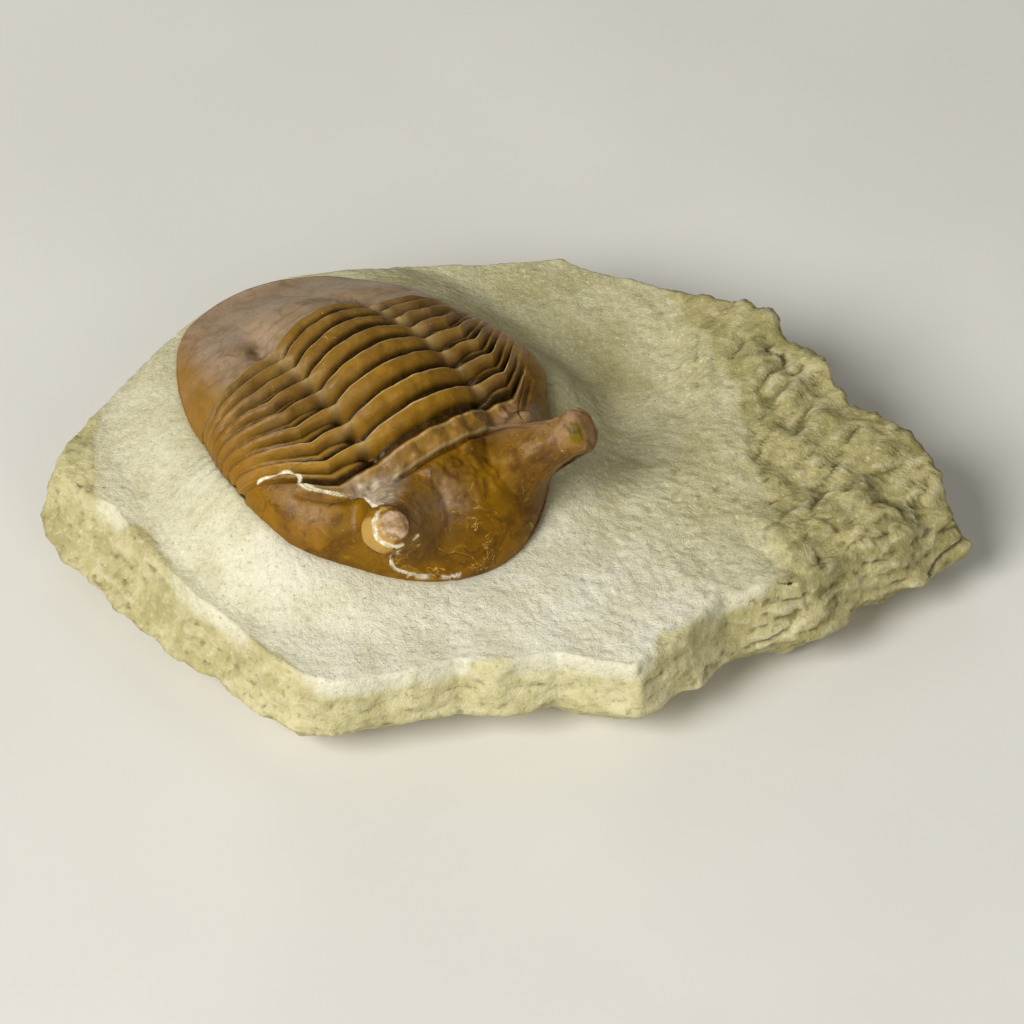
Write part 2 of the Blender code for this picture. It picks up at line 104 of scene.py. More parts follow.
SLAB_DEPTH = 16.0
WAIST_DEPTH = 9.0  # where the slab is widest
BASE_INSET = 8.5
FOOT_INSET = 4.4  # of the bevel above the base
FOOT_RISE = 3.0
WAIST = (
    (62.4, 2.2), (60.6, 7.4), (58.2, 11.8), (54.0, 16.6), (48.8, 20.0), (46.2, 26.6), (41.0, 31.0),
    (38.2, 37.0), (32.6, 41.4), (21.4, 47.6), (12.8, 50.3), (8.4, 52.9), (-4.6, 51.6), (-16.1, 51.5),
    (-25.0, 48.6), (-35.0, 45.4), (-42.0, 41.4), (-47.6, 35.4), (-53.0, 30.0), (-58.6, 20.6), (-62.9, 13.0),
    (-65.0, 8.4), (-62.4, 1.6), (-55.8, -6.7), (-50.0, -13.1), (-44.3, -19.1), (-38.8, -23.3),
    (-33.2, -29.2), (-27.9, -32.1), (-23.3, -32.4), (-14.8, -30.5), (-6.9, -28.4), (-1.6, -29.2),
    (6.3, -26.9), (11.6, -28.2), (16.9, -29.1), (19.6, -26.6), (25.0, -23.5), (30.5, -17.3),
    (41.3, -14.7), (49.9, -6.9), (55.4, -4.4),
)
# How far the top edge lies inside the waist, as (bearing from the animal in degrees, inset).
TOP_INSET = (
    (-180, 1.6), (-174, 1.6), (-168, 4.0), (-158, 6.5), (-148, 5.5), (-126, 4.0), (-105, 3.0), (-92, 0.8),
    (-80, 0.8), (-70, 1.5), (-54, 0.8), (-46, 1.0), (-35, 3.0), (-20, 3.5), (-12, 3.5), (-8, 1.8),
    (180, 1.6),
)
EMBED = 0.6  # how far the stone rises past the animal's lower edge
EDGE_DROP = 0.8  # rounding of the top edge
APRON = 11.0  # reach of the stone's slope up to the animal
CAD_STATIONS = 78  # round the slab
CAD_OVER = (0.94, 0.78, 0.6, 0.44, 0.3, 0.18, 0.08)  # rings from the top's edge in to the animal
CAD_INSIDE = (1.0, 0.75, 0.4)  # rings inside the animal's outline
SIDE_RINGS = 5  # rings from the base up to the top's edge

# ---- Sizes of the fine surface ----

SPACING = 0.17  # between points on the head and the tail
STALK_SPACING = 0.1  # in the feet of the eye stalks, which stretch it
WALL_ROWS = 4  # of points in the wall under a plate's border
ALONG, ACROSS = ((44, 330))  # points along and across a segment
# Points round the stone, rings over its top, and rings for each one of its sides in the CAD.
STONE_AROUND, STONE_OVER, STONE_UP = ((760, 78, 8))
STONE_INSIDE = (1.0, 0.97, 0.94, 0.9, 0.8, 0.6, 0.3)  # rings inside the animal's outline
STONE_SUNK = 2.5  # how far those lie lower, out of sight

# The cleared part of the slab's top, as a closed outline.
CLEARED = (
    (-56.8, 6.2), (-55.6, -1.5), (-48.7, -3.4), (-46.4, -9.1), (-44.8, -14.6), (-41.2, -20.1), (-35.7, -23.4),
    (-27.7, -29.2), (-22.3, -34.5), (-14.6, -30.9), (-2.9, -27.4), (6.3, -28.8), (11.5, -31.3), (16.7, -28.3),
    (19.4, -23.8), (24.8, -20.1), (36.3, -12.8), (34.6, -5.3), (35.6, 2.3), (33.5, 11.0), (31.0, 23.0),
    (27.1, 33.2), (25.1, 38.4), (19.0, 52.0), (-20.0, 56.0), (-50.0, 42.0), (-58.0, 24.0),
)

# Height along one segment, as (share of its length from the front, height). Below 0 it lies under the
# segment ahead of it.
RING_STEPS = (
    (-0.2, -2.3), (0.0, -1.85), (0.12, -1.75), (0.25, -1.6), (0.34, -1.3), (0.42, -0.75), (0.5, -0.25),
    (0.6, 0.1), (0.74, 0.34), (0.86, 0.42), (0.93, 0.34), (0.975, 0.05), (1.0, -0.5),
)
FRONT_BAND_STEPS = ((-0.4, -2.0), (0.0, -1.4), (0.3, -0.55), (0.6, -0.25), (0.85, -0.55), (1.0, -1.25))
REAR_BAND_STEPS = (
    (0.0, -1.25), (0.16, -0.75), (0.4, 0.1), (0.66, 0.48), (0.84, 0.46), (0.95, 0.0), (1.0, -0.6),
)

# The suture on the base of the head, from its rear edge past the eye to its front edge.
SUTURE = (
    (-9.5, 17.5), (-5.5, 17.45), (-3.8, 17.5), (-2.2, 17.35), (-0.64, 16.3), (1.0, 14.9), (2.8, 13.2),
    (4.3, 11.2), (6.2, 9.9), (7.3, 9.6), (7.7, 9.9), (8.08, 10.4), (8.54, 10.66), (9.1, 10.65),
    (9.8, 10.35), (10.9, 11.2), (11.4, 12.6), (11.8, 13.3), (12.4, 13.1), (13.3, 12.2), (14.4, 10.9),
    (15.6, 9.0), (17.8, 5.0),
)

# The white filling of the suture on the animal's right: half-widths and paths in (u, v).
FILLING = (
    (0.32, ((-3.7, -17.5), (-2.5, -17.4), (-1.5, -16.9))),
    (0.17, (
        (-1.6, -17.0), (-0.64, -16.3), (1.0, -14.9), (2.84, -13.1), (3.9, -11.2), (4.6, -10.3), (5.4, -9.2),
    )),
    (0.26, (
        (7.68, -9.88), (7.92, -10.23), (8.08, -10.4), (8.34, -10.54), (8.54, -10.66), (8.81, -10.71),
        (9.1, -10.65), (9.42, -10.51), (9.77, -10.35), (9.99, -10.0),
    )),
    (0.32, ((12.5, -9.2), (12.5, -8.7))),
    (0.2, (
        (12.0, -11.8), (11.7, -12.4), (11.5, -13.0), (11.75, -13.3), (12.3, -13.15), (13.2, -12.35),
        (14.3, -11.0), (15.2, -9.75), (16.0, -8.45), (16.6, -7.3),
    )),
    (0.26, ((16.3, -7.9), (16.9, -6.6), (17.2, -5.5))),
)
# The same filling where it runs on over the first segment.
FILLING_BEHIND = (
    (-8.0, -20.9), (-7.65, -20.3), (-6.93, -19.45), (-6.3, -18.4), (-5.6, -17.7), (-4.3, -17.1),
    (-3.6, -17.3),
)

# The right eye: its flat end, the calcite round it and a yellow streak beside it, in (u, v).
EYE_DISC = (8.78, -9.62)
EYE_GLOW = (8.6, -10.9)
EYE_STREAK = ((7.6, -9.7), (7.7, -9.4), (7.7, -9.0))

# Soft patches of colour on the head: strength, centre in (u, v), size.
MILKY_AT_SUTURE = ((1.1, (3.9, -10.8), 2.6),)
MILKY = (
    (0.7, (9.5, -4.5), (2.5, 3.0)), (0.35, (1.5, -17.5), (2.5, 2.0)), (0.9, (6.5, 9.5), (4.0, 2.6)),
    (0.8, (6.5, 13.0), (5.0, 3.4)),
)
DEEP_BROWN = (
    (0.8, (3.2, -7.5), (1.6, 1.8)), (0.75, (6.6, -1.0), (1.6, 2.4)), (0.75, (12.5, 6.5), (2.4, 3.0)),
    (0.7, (-0.6, 13.0), (1.2, 3.0)), (0.55, (6.5, -18.0), (1.8, 1.6)), (0.6, (5.5, 4.5), (1.6, 2.2)),
)
WHITE_HAZE = ((1.0, (1.8, -12.4), 1.2), (1.0, (3.3, -10.4), 1.5), (1.0, (4.9, -8.4), 1.4))
OLIVE_ON_LEFT_EYE = ((1.4, (9.0, 8.9), (0.7, 0.5)),)
PEACH_ON_LEFT_EYE = ((1.0, (8.2, 10.2), (0.7, 0.6)),)

# One eye stalk: share of the way in from its foot's rim, height along its axis, radius.
STALK_FOOT = 6.2
STALK = (
    (0.0, 0.9, 6.2), (0.1, 1.4, 5.0), (0.22, 2.6, 3.9), (0.36, 4.3, 3.2), (0.47, 5.7, 2.95),
    (0.56, 6.9, 2.9), (0.64, 7.9, 3.1), (0.72, 8.8, 3.2), (0.79, 9.5, 2.9), (0.86, 10.0, 2.2),
    (0.93, 10.25, 1.2), (1.0, 10.3, 0.0),
)


# ---- Noise ----

LATTICE = np.random.default_rng(11)
TURNS = LATTICE.permutation(256)
SLOPES = LATTICE.normal(size=(256, 3))
SLOPES /= np.linalg.norm(SLOPES, axis=1)[:, None]


def noise(points, size, offset=0.0):
    """Smooth noise, about -1 to 1, with lumps of a given size, at an array of points."""
    p = np.asarray(points, float) / size + offset
    cell = np.floor(p).astype(int)
    inside = p - cell
    fade = inside**3 * (inside * (inside * 6 - 15) + 10)
    total = 0.0
    for corner in np.ndindex(2, 2, 2):
        c = cell + corner
        index = TURNS[(TURNS[(TURNS[c[..., 0] & 255] + c[..., 1]) & 255] + c[..., 2]) & 255]
        weight = np.where(corner, fade, 1 - fade).prod(axis=-1)
        total = total + weight * (SLOPES[index] * (inside - corner)).sum(axis=-1)
    return 1.6 * total


def rough_noise(points, size, octaves, gain=0.5, offset=0.0):
    return sum(gain**k * noise(points, size / 2**k, offset + 7.3 * k) for k in range(octaves))


def ridged(points, size, offset=0.0):
    """Sharp-crested noise, 0 to 1, for broken edges."""
    return 1 - np.abs(np.clip(noise(points, size, offset), -1, 1))


def smooth_step(x, low, high):
    t = np.clip((x - low) / (high - low), 0, 1)
    return t * t * (3 - 2 * t)


def bump_at(x, centre, width):
    return np.exp(-(((x - centre) / width) ** 2))


def steps_at(share, steps):
    """A smooth curve through (share, height) steps."""
    known, heights = np.array(steps).T
    fine = np.linspace(known[0], known[-1], 161)
    curve = np.interp(fine, known, heights)
    soft = np.array([1, 2, 3, 2, 1]) / 9
    curve[2:-2] = np.convolve(curve, soft, "valid")
    return np.interp(share, fine, curve)


# ---- The body's frame ----


def segment_lengths():
    return np.linspace(FRONT_SEGMENT_LENGTH, REAR_SEGMENT_LENGTH, SEGMENTS)


THORAX_LENGTH = float(segment_lengths().sum())
JOINTS = np.concatenate([[0.0], np.cumsum(segment_lengths())])
ARCH_RADIUS = THORAX_LENGTH / ARCH


def pressed(u, v, w):
    """How far v moves where the animal's sides were pressed out or in, its eyes apart."""
    right = np.interp(u, *zip(*FLARE_RIGHT)) * smooth_step(-v, 7, 21)
    left = np.interp(u, *zip(*FLARE_LEFT)) * smooth_step(v, 4, 16)
    return (left - right) * (1 - smooth_step(w, 9, 13))


def on_slab(u, v, w):
    """The slab-frame points of body-frame points."""
    u, v, w = np.broadcast_arrays(np.asarray(u, float), v, w)
    v = v + pressed(u, v, w)
    back = np.clip(-u, 0, THORAX_LENGTH)
    beyond = -u - back
    pitch = HEAD_DIP + back / ARCH_RADIUS
    along = ARCH_RADIUS * (math.sin(HEAD_DIP) - np.sin(pitch)) - beyond * np.cos(pitch)
    rise = ARCH_RADIUS * (np.cos(pitch) - math.cos(HEAD_DIP)) - beyond * np.sin(pitch)
    along = along - (w - HINGE_HEIGHT) * np.sin(pitch)
    rise = rise + (w - HINGE_HEIGHT) * np.cos(pitch)
    ahead, left = (math.cos(HEADING), math.sin(HEADING)), (-math.sin(HEADING), math.cos(HEADING))
    return np.stack(
        [NECK[0] + along * ahead[0] + v * left[0], NECK[1] + along * ahead[1] + v * left[1], NECK[2] + rise],
        axis=-1,
    )


def dome(reach):
    return (1 - np.clip(np.abs(reach), 0, 1) ** DOME_OUT) ** (1 / DOME_DOWN)


def thorax_half(back):
    return np.interp(back, [0, THORAX_LENGTH], [THORAX_HALF_FRONT, THORAX_HALF_REAR])


def axis_half(back):
    return np.interp(back, [0, THORAX_LENGTH], [AXIS_HALF_FRONT, AXIS_HALF_REAR])


def joint_line(number, v):
    half = thorax_half(JOINTS[number])
    out = np.clip((np.abs(v) - SWEEP_FROM) / (half - SWEEP_FROM), 0, 1)
    sweep = np.interp(number, [0, SEGMENTS], [SWEEP_FRONT, SWEEP_REAR])
    return -JOINTS[number] - sweep * out**SWEEP_POWER


def underside(u):
    behind = np.clip((-np.asarray(u, float) - THORAX_LENGTH) / TAIL_LENGTH, 0, 1)
    return TAIL_EDGE_LIFT * behind


def half_width(u, grow=0.0):
    ahead = np.clip((u - HEAD_WIDEST) / (HEAD_LENGTH + grow), 0, 1)
    behind = np.clip((-u - THORAX_LENGTH) / (TAIL_LENGTH + grow), 0, 1)
    middle = np.interp(-u, [-HEAD_WIDEST, THORAX_LENGTH], [HEAD_HALF_WIDTH, THORAX_HALF_REAR]) + grow
    return middle * (1 - ahead**HEAD_POWER) ** (1 / HEAD_POWER) * np.sqrt(1 - behind**2)


def outline_stations(count):
    turn = np.radians(np.linspace(5, 90, count))
    head = HEAD_WIDEST + HEAD_LENGTH * np.cos(turn)
    middle = -np.linspace(-HEAD_WIDEST, THORAX_LENGTH, 8)[1:-1]
    tail = -THORAX_LENGTH - TAIL_LENGTH * np.cos(turn[::-1])
    return np.concatenate([head, middle, tail])


# ---- The slab's surface, as in the CAD ----


def animal_edge(count=24):
    u = outline_stations(count)
    half = half_width(u)
    left = on_slab(u, half, underside(u))
    right = on_slab(u, -half, underside(u))
    return np.concatenate([left, right[::-1]])


EDGE_POINTS = animal_edge()
FINE_EDGE = animal_edge(160)
CENTRE = (EDGE_POINTS[:, :2].min(axis=0) + EDGE_POINTS[:, :2].max(axis=0)) / 2


def bearings_and_reach(points):
    offsets = np.asarray(points, float)[:, :2] - CENTRE
    return np.arctan2(offsets[:, 1], offsets[:, 0]), np.hypot(offsets[:, 0], offsets[:, 1])


def reach_at(points, bearings):
    known, reach = bearings_and_reach(points)
    return np.interp(bearings, known, reach, period=2 * math.pi)


def roughness(x, y, z):
    waves = (
        np.sin(0.41 * x + 1.3 * np.sin(0.23 * y + 0.5)),
        np.sin(0.47 * y - 0.9 * np.sin(0.31 * x) + 2.0),
        np.sin(0.63 * (x + y) + 0.8 * z + 1.0),
        np.sin(0.9 * x - 0.7 * y - 0.6 * z),
    )
    return 0.3 * sum(waves)


def open_ground(x, y):
    bowl = -2.6 * np.exp(-(((x - 14) / 11) ** 2 + ((y - 27) / 13) ** 2))
    shoulder = 2.4 * smooth_step(x, 22, 28) * np.exp(-(((y - 31) / 15) ** 2))
    right_slope = -3.5 * smooth_step(x, 46, 63) * (1 - smooth_step(y, 2, 12))
    left_slope = -2.5 * smooth_step(-x, 56, 66) * (1 - smooth_step(y, 4, 14))
    natural = smooth_step(x, 30, 38)
    return bowl + shoulder + right_slope + left_slope + (0.15 + 0.9 * natural) * roughness(x, y, 0)


def ground(x, y, inland=1.0, inside=0.0):
    """Height of the slab's top. Inside the animal's outline it lies lower by inside, out of sight."""
    gaps = np.hypot(x[..., None] - FINE_EDGE[:, 0], y[..., None] - FINE_EDGE[:, 1])
    weights = (gaps**2 + 0.05) ** -2
    edge = (weights * FINE_EDGE[:, 2]).sum(axis=-1) / weights.sum(axis=-1)
    near = inland * (1 - smooth_step(gaps.min(axis=-1), 0, APRON))
    level = open_ground(x, y)
    return level + near * (edge + EMBED - level) - inside


def slab_rings(stations, shares=CAD_OVER, shares_inside=CAD_INSIDE, sunk=0.0):
    """Rings of the slab's skin: SIDE_RINGS up to the top's edge, then at shares of the way out from the
    animal's outline, then inside that outline, where the skin lies lower by sunk."""
    corners = np.array(WAIST + WAIST[:1])
    along = np.concatenate([[0], np.cumsum(np.hypot(*np.diff(corners, axis=0).T))])
    at = np.linspace(0, along[-1], stations, endpoint=False)
    path = np.stack([np.interp(at, along, corners[:, 0]), np.interp(at, along, corners[:, 1])], axis=1)
    bearing, waist = bearings_and_reach(path)
    inset_at, inset = zip(*TOP_INSET)
    top = waist - np.interp(np.degrees(bearing), inset_at, inset)
    animal = reach_at(FINE_EDGE, bearing)

    def ring(reach):
        return CENTRE[0] + reach * np.cos(bearing), CENTRE[1] + reach * np.sin(bearing)

    def side(reach, z, lumps):
        x, y = ring(reach)
        x, y = ring(reach + lumps * roughness(x, y, z))
        return np.stack([x, y, np.broadcast_to(z, x.shape)], axis=1)

    def over(reach, inland=1.0, inside=0.0):
        x, y = ring(reach)
        return np.stack([x, y, ground(x, y, inland, inside)], axis=1)

    top_edge = over(top, 0.0) - (0, 0, EDGE_DROP)
    rings = [
        side(waist - BASE_INSET, -SLAB_DEPTH, 0.0),
        side(waist - FOOT_INSET, -SLAB_DEPTH + FOOT_RISE, 0.6),
        side(waist, -WAIST_DEPTH, 0.6),
        side(0.45 * waist + 0.55 * top, 0.45 * top_edge[:, 2] - 0.55 * WAIST_DEPTH, 0.7),
        top_edge,
    ]
    for share in shares:
        rings.append(over(animal + share * (top - animal), smooth_step(1 - share, 0, 0.3)))
    rings += [over(animal * share, 1.0, sunk * smooth_step(1 - share, 0, 0.1)) for share in shares_inside]
    return rings


def row_origin():
    """Where the CAD puts the slab frame's origin, in mm."""
    every = np.concatenate(slab_rings(CAD_STATIONS))
    low, high = every.min(axis=0), every.max(axis=0)
    return np.array([-(low[0] + high[0]) / 2, -(low[1] + high[1]) / 2, SLAB_DEPTH])


ORIGIN = row_origin()


# ---- Meshes ----


def fill_mesh(mesh, points, faces):
    """Puts points, in slab-frame mm, and faces of one size each into an empty mesh."""
    place = ((np.asarray(points, float) + ORIGIN) * MM).astype(np.float32)
    mesh.vertices.add(len(place))
    mesh.vertices.foreach_set("co", place.ravel())
    sizes = np.array([len(face) for face in faces], np.int32)
    corners = np.concatenate([np.asarray(face, np.int32) for face in faces])
    mesh.loops.add(len(corners))
    mesh.loops.foreach_set("vertex_index", corners)
    mesh.polygons.add(len(sizes))
    mesh.polygons.foreach_set("loop_start", np.concatenate([[0], np.cumsum(sizes)[:-1]]).astype(np.int32))
    mesh.update(calc_edges=True)
    mesh.validate()


def dress(obj, node, material, marks):
    """Makes obj stand for a CAD node: its attributes, material, shading, body and slot."""
    mesh = obj.data
    for name, values in marks.items():
        mark = mesh.attributes.new(name, "FLOAT", "POINT")
        mark.data.foreach_set("value", np.asarray(values, np.float32).ravel())
    mesh.shade_smooth()
    mesh.materials.clear()
    mesh.materials.append(material)
    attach(obj, "root")
    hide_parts(node)
    return obj


def new_object(name, points, faces):
    mesh = bpy.data.meshes.new(name)
    fill_mesh(mesh, points, faces)
    shape = bmesh.new()
    shape.from_mesh(mesh)
    bmesh.ops.recalc_face_normals(shape, faces=shape.faces)
    shape.to_mesh(mesh)
    shape.free()
    obj = bpy.data.objects.new(name, mesh)
    bpy.context.scene.collection.objects.link(obj)
    return obj


def lofted(loops):
    """Points and faces of a closed skin through loops of equal length, an array (loops, points, 3)."""
    count, size = loops.shape[:2]
    index = np.arange(count * size).reshape(count, size)
    here, there = index[:-1], index[1:]
    quads = np.stack([here, np.roll(here, -1, 1), np.roll(there, -1, 1), there], axis=-1).reshape(-1, 4)
    return loops.reshape(-1, 3), [*quads, index[0], index[-1]]


# ---- Plates drawn in the body's (u, v) plane ----


def walked(path, spacing):
    """The path's points again, evenly spaced."""
    path = np.asarray(path, float)
    along = np.concatenate([[0], np.cumsum(np.hypot(*np.diff(path, axis=0).T))])
    at = np.linspace(0, along[-1], max(int(round(along[-1] / spacing)), 2) + 1)
    return np.stack([np.interp(at, along, path[:, 0]), np.interp(at, along, path[:, 1])], axis=1)


def rounded(path, times=3):
    """The path with its corners cut, its ends kept."""
    path = np.asarray(path, float)
    for _ in range(times):
        cut = np.stack([0.75 * path[:-1] + 0.25 * path[1:], 0.25 * path[:-1] + 0.75 * path[1:]], axis=1)
        path = np.concatenate([path[:1], cut.reshape(-1, 2), path[-1:]])
    return path


def distance_to(points, path, step=4000):
    """Distance from each (u, v) point to a path of straight runs."""
    start, way = path[:-1], np.diff(path, axis=0)
    length = np.maximum((way**2).sum(axis=1), 1e-12)
    found = []
    for first in range(0, len(points), step):
        offset = points[first : first + step, None] - start
        share = np.clip((offset * way).sum(axis=-1) / length, 0, 1)
        gap = offset - share[..., None] * way
        found.append(np.sqrt((gap**2).sum(axis=-1).min(axis=-1)))
    return np.concatenate(found)


def honeycomb(low, high, spacing):
    """Points of an even triangular grid over a (u, v) box."""
    rows = np.arange(low[1], high[1], spacing * 0.866)
    columns = np.arange(low[0], high[0], spacing)
    u, v = np.meshgrid(columns, rows)
    u = u + spacing / 2 * (np.arange(len(rows)) % 2)[:, None]
    return np.stack([u.ravel(), v.ravel()], axis=1)


def triangulated(outline, points):
    """Points and counterclockwise triangles that fill an outline, its own points first."""
    every = np.concatenate([outline, points])
    found = delaunay_2d_cdt([Vector(p) for p in every.tolist()], [], [list(range(len(outline)))], 1, 1e-7)
    places = np.array([tuple(p) for p in found[0]])
    faces = np.array(found[2])
    used, faces = np.unique(faces, return_inverse=True)
    return places[used], faces.reshape(-1, 3)


def plate(outline, spacing, discs=()):
    """Points and triangles of a plate: an even grid inside an outline, finer in round discs.

    A disc is (centre, radius, spacing)."""
    low, high = outline.min(axis=0), outline.max(axis=0)
    points = honeycomb(low, high, spacing)
    for centre, radius, fine in discs:
        points = points[np.hypot(*(points - centre).T) > radius]
        extra = honeycomb(np.subtract(centre, radius), np.add(centre, radius), fine)
        extra = extra[np.hypot(*(extra - centre).T) <= radius]
        points = np.concatenate([points, extra])
    closed = np.concatenate([outline, outline[:1]])
    points = points[distance_to(points, closed) > 0.45 * spacing]
    return triangulated(outline, points)


def border_loop(faces):
    """The order of the points round the one border of a sheet of triangles."""
    ends = np.concatenate([faces[:, [0, 1]], faces[:, [1, 2]], faces[:, [2, 0]]])
    back = set(map(tuple, ends[:, ::-1].tolist()))
    after = {a: b for a, b in ends.tolist() if (a, b) not in back}
    loop = [next(iter(after))]
    while after[loop[-1]] != loop[0]:
        loop.append(after[loop[-1]])
    return np.array(loop)


def with_underside(places, top, faces, low):
    """Closes a sheet with a wall round its border and a flat underside at w = low(u).

    It gives the points, the faces and the marks' order: the sheet's own points, then those of the walls."""
    loop = border_loop(faces)
    foot = on_slab(places[loop, 0], places[loop, 1], low(places[loop, 0]))
    points, walls = [top], []
    above = loop
    for row in range(1, WALL_ROWS + 1):
        points.append(top[loop] + row / WALL_ROWS * (foot - top[loop]))
        below = len(top) + (row - 1) * len(loop) + np.arange(len(loop))
        walls.append(np.stack([np.roll(above, -1), above, below, np.roll(below, -1)], axis=1))
        above = below
    order = np.concatenate([np.arange(len(top)), np.tile(loop, WALL_ROWS)])
    return np.concatenate(points), [*faces, *np.concatenate(walls), above[::-1]], order


def sheet(u, v):
    """(u, v) as points that the noise can read."""
    return np.stack([u, v, np.zeros_like(u)], axis=-1)


def normals_of(points, faces):
    """Unit normals at the points of a mesh of triangles."""
    a, b, c = points[faces[:, 0]], points[faces[:, 1]], points[faces[:, 2]]
    across = np.cross(b - a, c - a)
    total = np.zeros_like(points)
    for corner in range(3):
        for axis in range(3):
            total[:, axis] += np.bincount(faces[:, corner], across[:, axis], len(points))
    return total / np.maximum(np.linalg.norm(total, axis=1), 1e-12)[:, None]


# ---- The head ----


def head_reach(u, v):
    """How far out a point of the head lies: 1 on its outline."""
    ahead = np.clip((u - HEAD_WIDEST) / HEAD_LENGTH, 0, 1)
    return (ahead**HEAD_POWER + np.abs(v / HEAD_HALF_WIDTH) ** HEAD_POWER) ** (1 / HEAD_POWER)


def head_edge(start, end, side):
    """The head's outline on one side between two turns, in degrees from straight ahead."""
    turn = np.radians(np.linspace(start, end, 200))
    u = HEAD_WIDEST + HEAD_LENGTH * np.cos(turn) ** (2 / HEAD_POWER)
    return np.stack([u, side * HEAD_HALF_WIDTH * np.sin(turn) ** (2 / HEAD_POWER)], axis=1)


def suture_path(side):
    """The suture on one side, from the joint behind the head to the head's outline."""
    path = rounded(SUTURE) * (1, side)
    path = walked(path, 0.05)
    path = path[path[:, 0] > joint_line(0, path[:, 1])]
    path = path[head_reach(path[:, 0], path[:, 1]) < 1]
    return walked(path, SPACING * 0.8)


SUTURES = {side: suture_path(side) for side in (1, -1)}


def front_turn(side):
    """The turn, in degrees, at which a suture meets the head's outline."""
    out = abs(SUTURES[side][-1, 1]) / HEAD_HALF_WIDTH
    return math.degrees(math.asin(out ** (HEAD_POWER / 2)))


def joint_path(start, end):
    v = np.linspace(start, end, 160)
    return np.stack([joint_line(0, v), v], axis=1)


def cranidium_outline():
    right, left = SUTURES[-1], SUTURES[1]
    front = np.concatenate([head_edge(front_turn(1), 0, 1), head_edge(0, front_turn(-1), -1)[1:]])
    rear = joint_path(right[0, 1], left[0, 1])
    return np.concatenate(
        [
            walked(rear, SPACING)[:-1],
            left[:-1],
            walked(np.concatenate([left[-1:], front[1:-1], right[-1:]]), SPACING)[:-1],
            right[::-1][:-1],
        ]
    )


def cheek_outline(side):
    path = SUTURES[side]
    corner = HEAD_HALF_WIDTH
    rear = joint_path(abs(path[0, 1]), 20.8) * (1, side)
    bend = rounded([rear[-1], (-9.6, side * corner), (-6.3, side * corner)], 4)
    edge = head_edge(89.0, front_turn(side), side)
    round_it = walked(np.concatenate([rear[:-1], bend, edge[:-1], path[-1:]]), SPACING)
    whole = np.concatenate([round_it[:-1], path[::-1][:-1]])
    return whole[::-1] if side == 1 else whole


def glabella(u, v):
    half = np.interp(u, [0, 4, 7, 12, 16], [AXIS_HALF_FRONT, 8.4, 8.4, 10.6, 9.0])
    height = np.interp(u, [0, 3.5, 8, 12.5, 16.5], [RING_HEIGHT, 2.2, 1.9, 1.3, 0.1])
    return height * np.clip(1 - (v / half) ** 2, 0, None) ** 0.8


def head_height(u, v):
    """w of the head's back, without the eyes."""
    out = np.abs(v)
    half = np.interp(u, [0, 4], [AXIS_HALF_FRONT, 8.4])
    from_joint = u - joint_line(0, v)
    in_ring = 1 - smooth_step(out, half - 0.8, half + 1.0)
    occipital = -1.0 * bump_at(u, 3.7, 0.5) * in_ring + 0.2 * bump_at(u, 1.1, 0.7) * in_ring
    ring_end = -0.5 * bump_at(out, half + 0.6, 0.9) * (1 - smooth_step(u, 2.5, 6.5))
    border = -0.55 * bump_at(from_joint, 2.9, 0.65) * smooth_step(out, half + 0.5, half + 2.5)
    border = border * (1 - smooth_step(out, 17, 19.5))
    rear = -0.9 * (1 - smooth_step(from_joint, 0, 0.9)) ** 2
    shoulder = 2.6 * bump_at(u, 4.6, 3.0) * bump_at(v, 13.6, 3.6) * smooth_step(from_joint, 0.5, 3)
    rise = EDGE_THICKNESS + DOME_HEIGHT * dome(head_reach(u, v))
    return rise + glabella(u, v) + occipital + ring_end + border + rear + shoulder


def stalk_frame(side):
    """An eye stalk's foot, its axis and the two directions across it, in the body's frame."""
    root, tip = np.array(EYE_ROOT) * (1, side, 1), np.array(EYE_TIP) * (1, side, 1)
    axis = (tip - root) / np.linalg.norm(tip - root)
    ahead = np.array([1.0, 0.0, 0.0]) - axis[0] * axis
    ahead /= np.linalg.norm(ahead)
    return root, axis, ahead, np.cross(axis, ahead)


def with_stalks(u, v, w):
    """Body-frame points of the head, with the feet of the eye stalks drawn out into the stalks."""
    points = np.stack([u, v, w], axis=-1)
    shares = np.zeros(len(points))
    for side in (1, -1):
        root, axis, ahead, left = stalk_frame(side)
        du, dv = u - root[0], v - root[1]
        away = np.hypot(du, dv)
        share = np.clip(1 - away / STALK_FOOT, 0, 1)
        known, heights, radii = np.array(STALK).T
        height = np.interp(share, known, heights)
        radius = np.interp(share, known, radii)
        turn = np.arctan2(dv, du)
        spread = np.cos(turn)[:, None] * ahead + np.sin(turn)[:, None] * left
        stalk = root + height[:, None] * axis + radius[:, None] * spread
        margin = smooth_step(head_reach(u, v), 0.87, 1.0) * (share < 0.4)
        blend = (smooth_step(share, 0.0, 0.3) * (1 - margin))[:, None]
        points = points + blend * (stalk - points)
        shares = np.maximum(shares, share)
    return points, shares


def spots(places, patches):
    """The sum of soft patches over (u, v), each with a strength, a centre and a size."""
    return sum(
        strength * np.exp(-(((places - centre) / size) ** 2).sum(axis=1))
        for strength, centre, size in patches
    )


def on_head(u, v):
    """Body-frame points of the head over (u, v), without the fine relief."""
    return with_stalks(u, v, head_height(u, v))[0]


def distance_from(body, place):
    """Distance of body-frame points from the head's point over one (u, v) place."""
    return np.linalg.norm(body - on_head(*np.array([place]).T), axis=1)


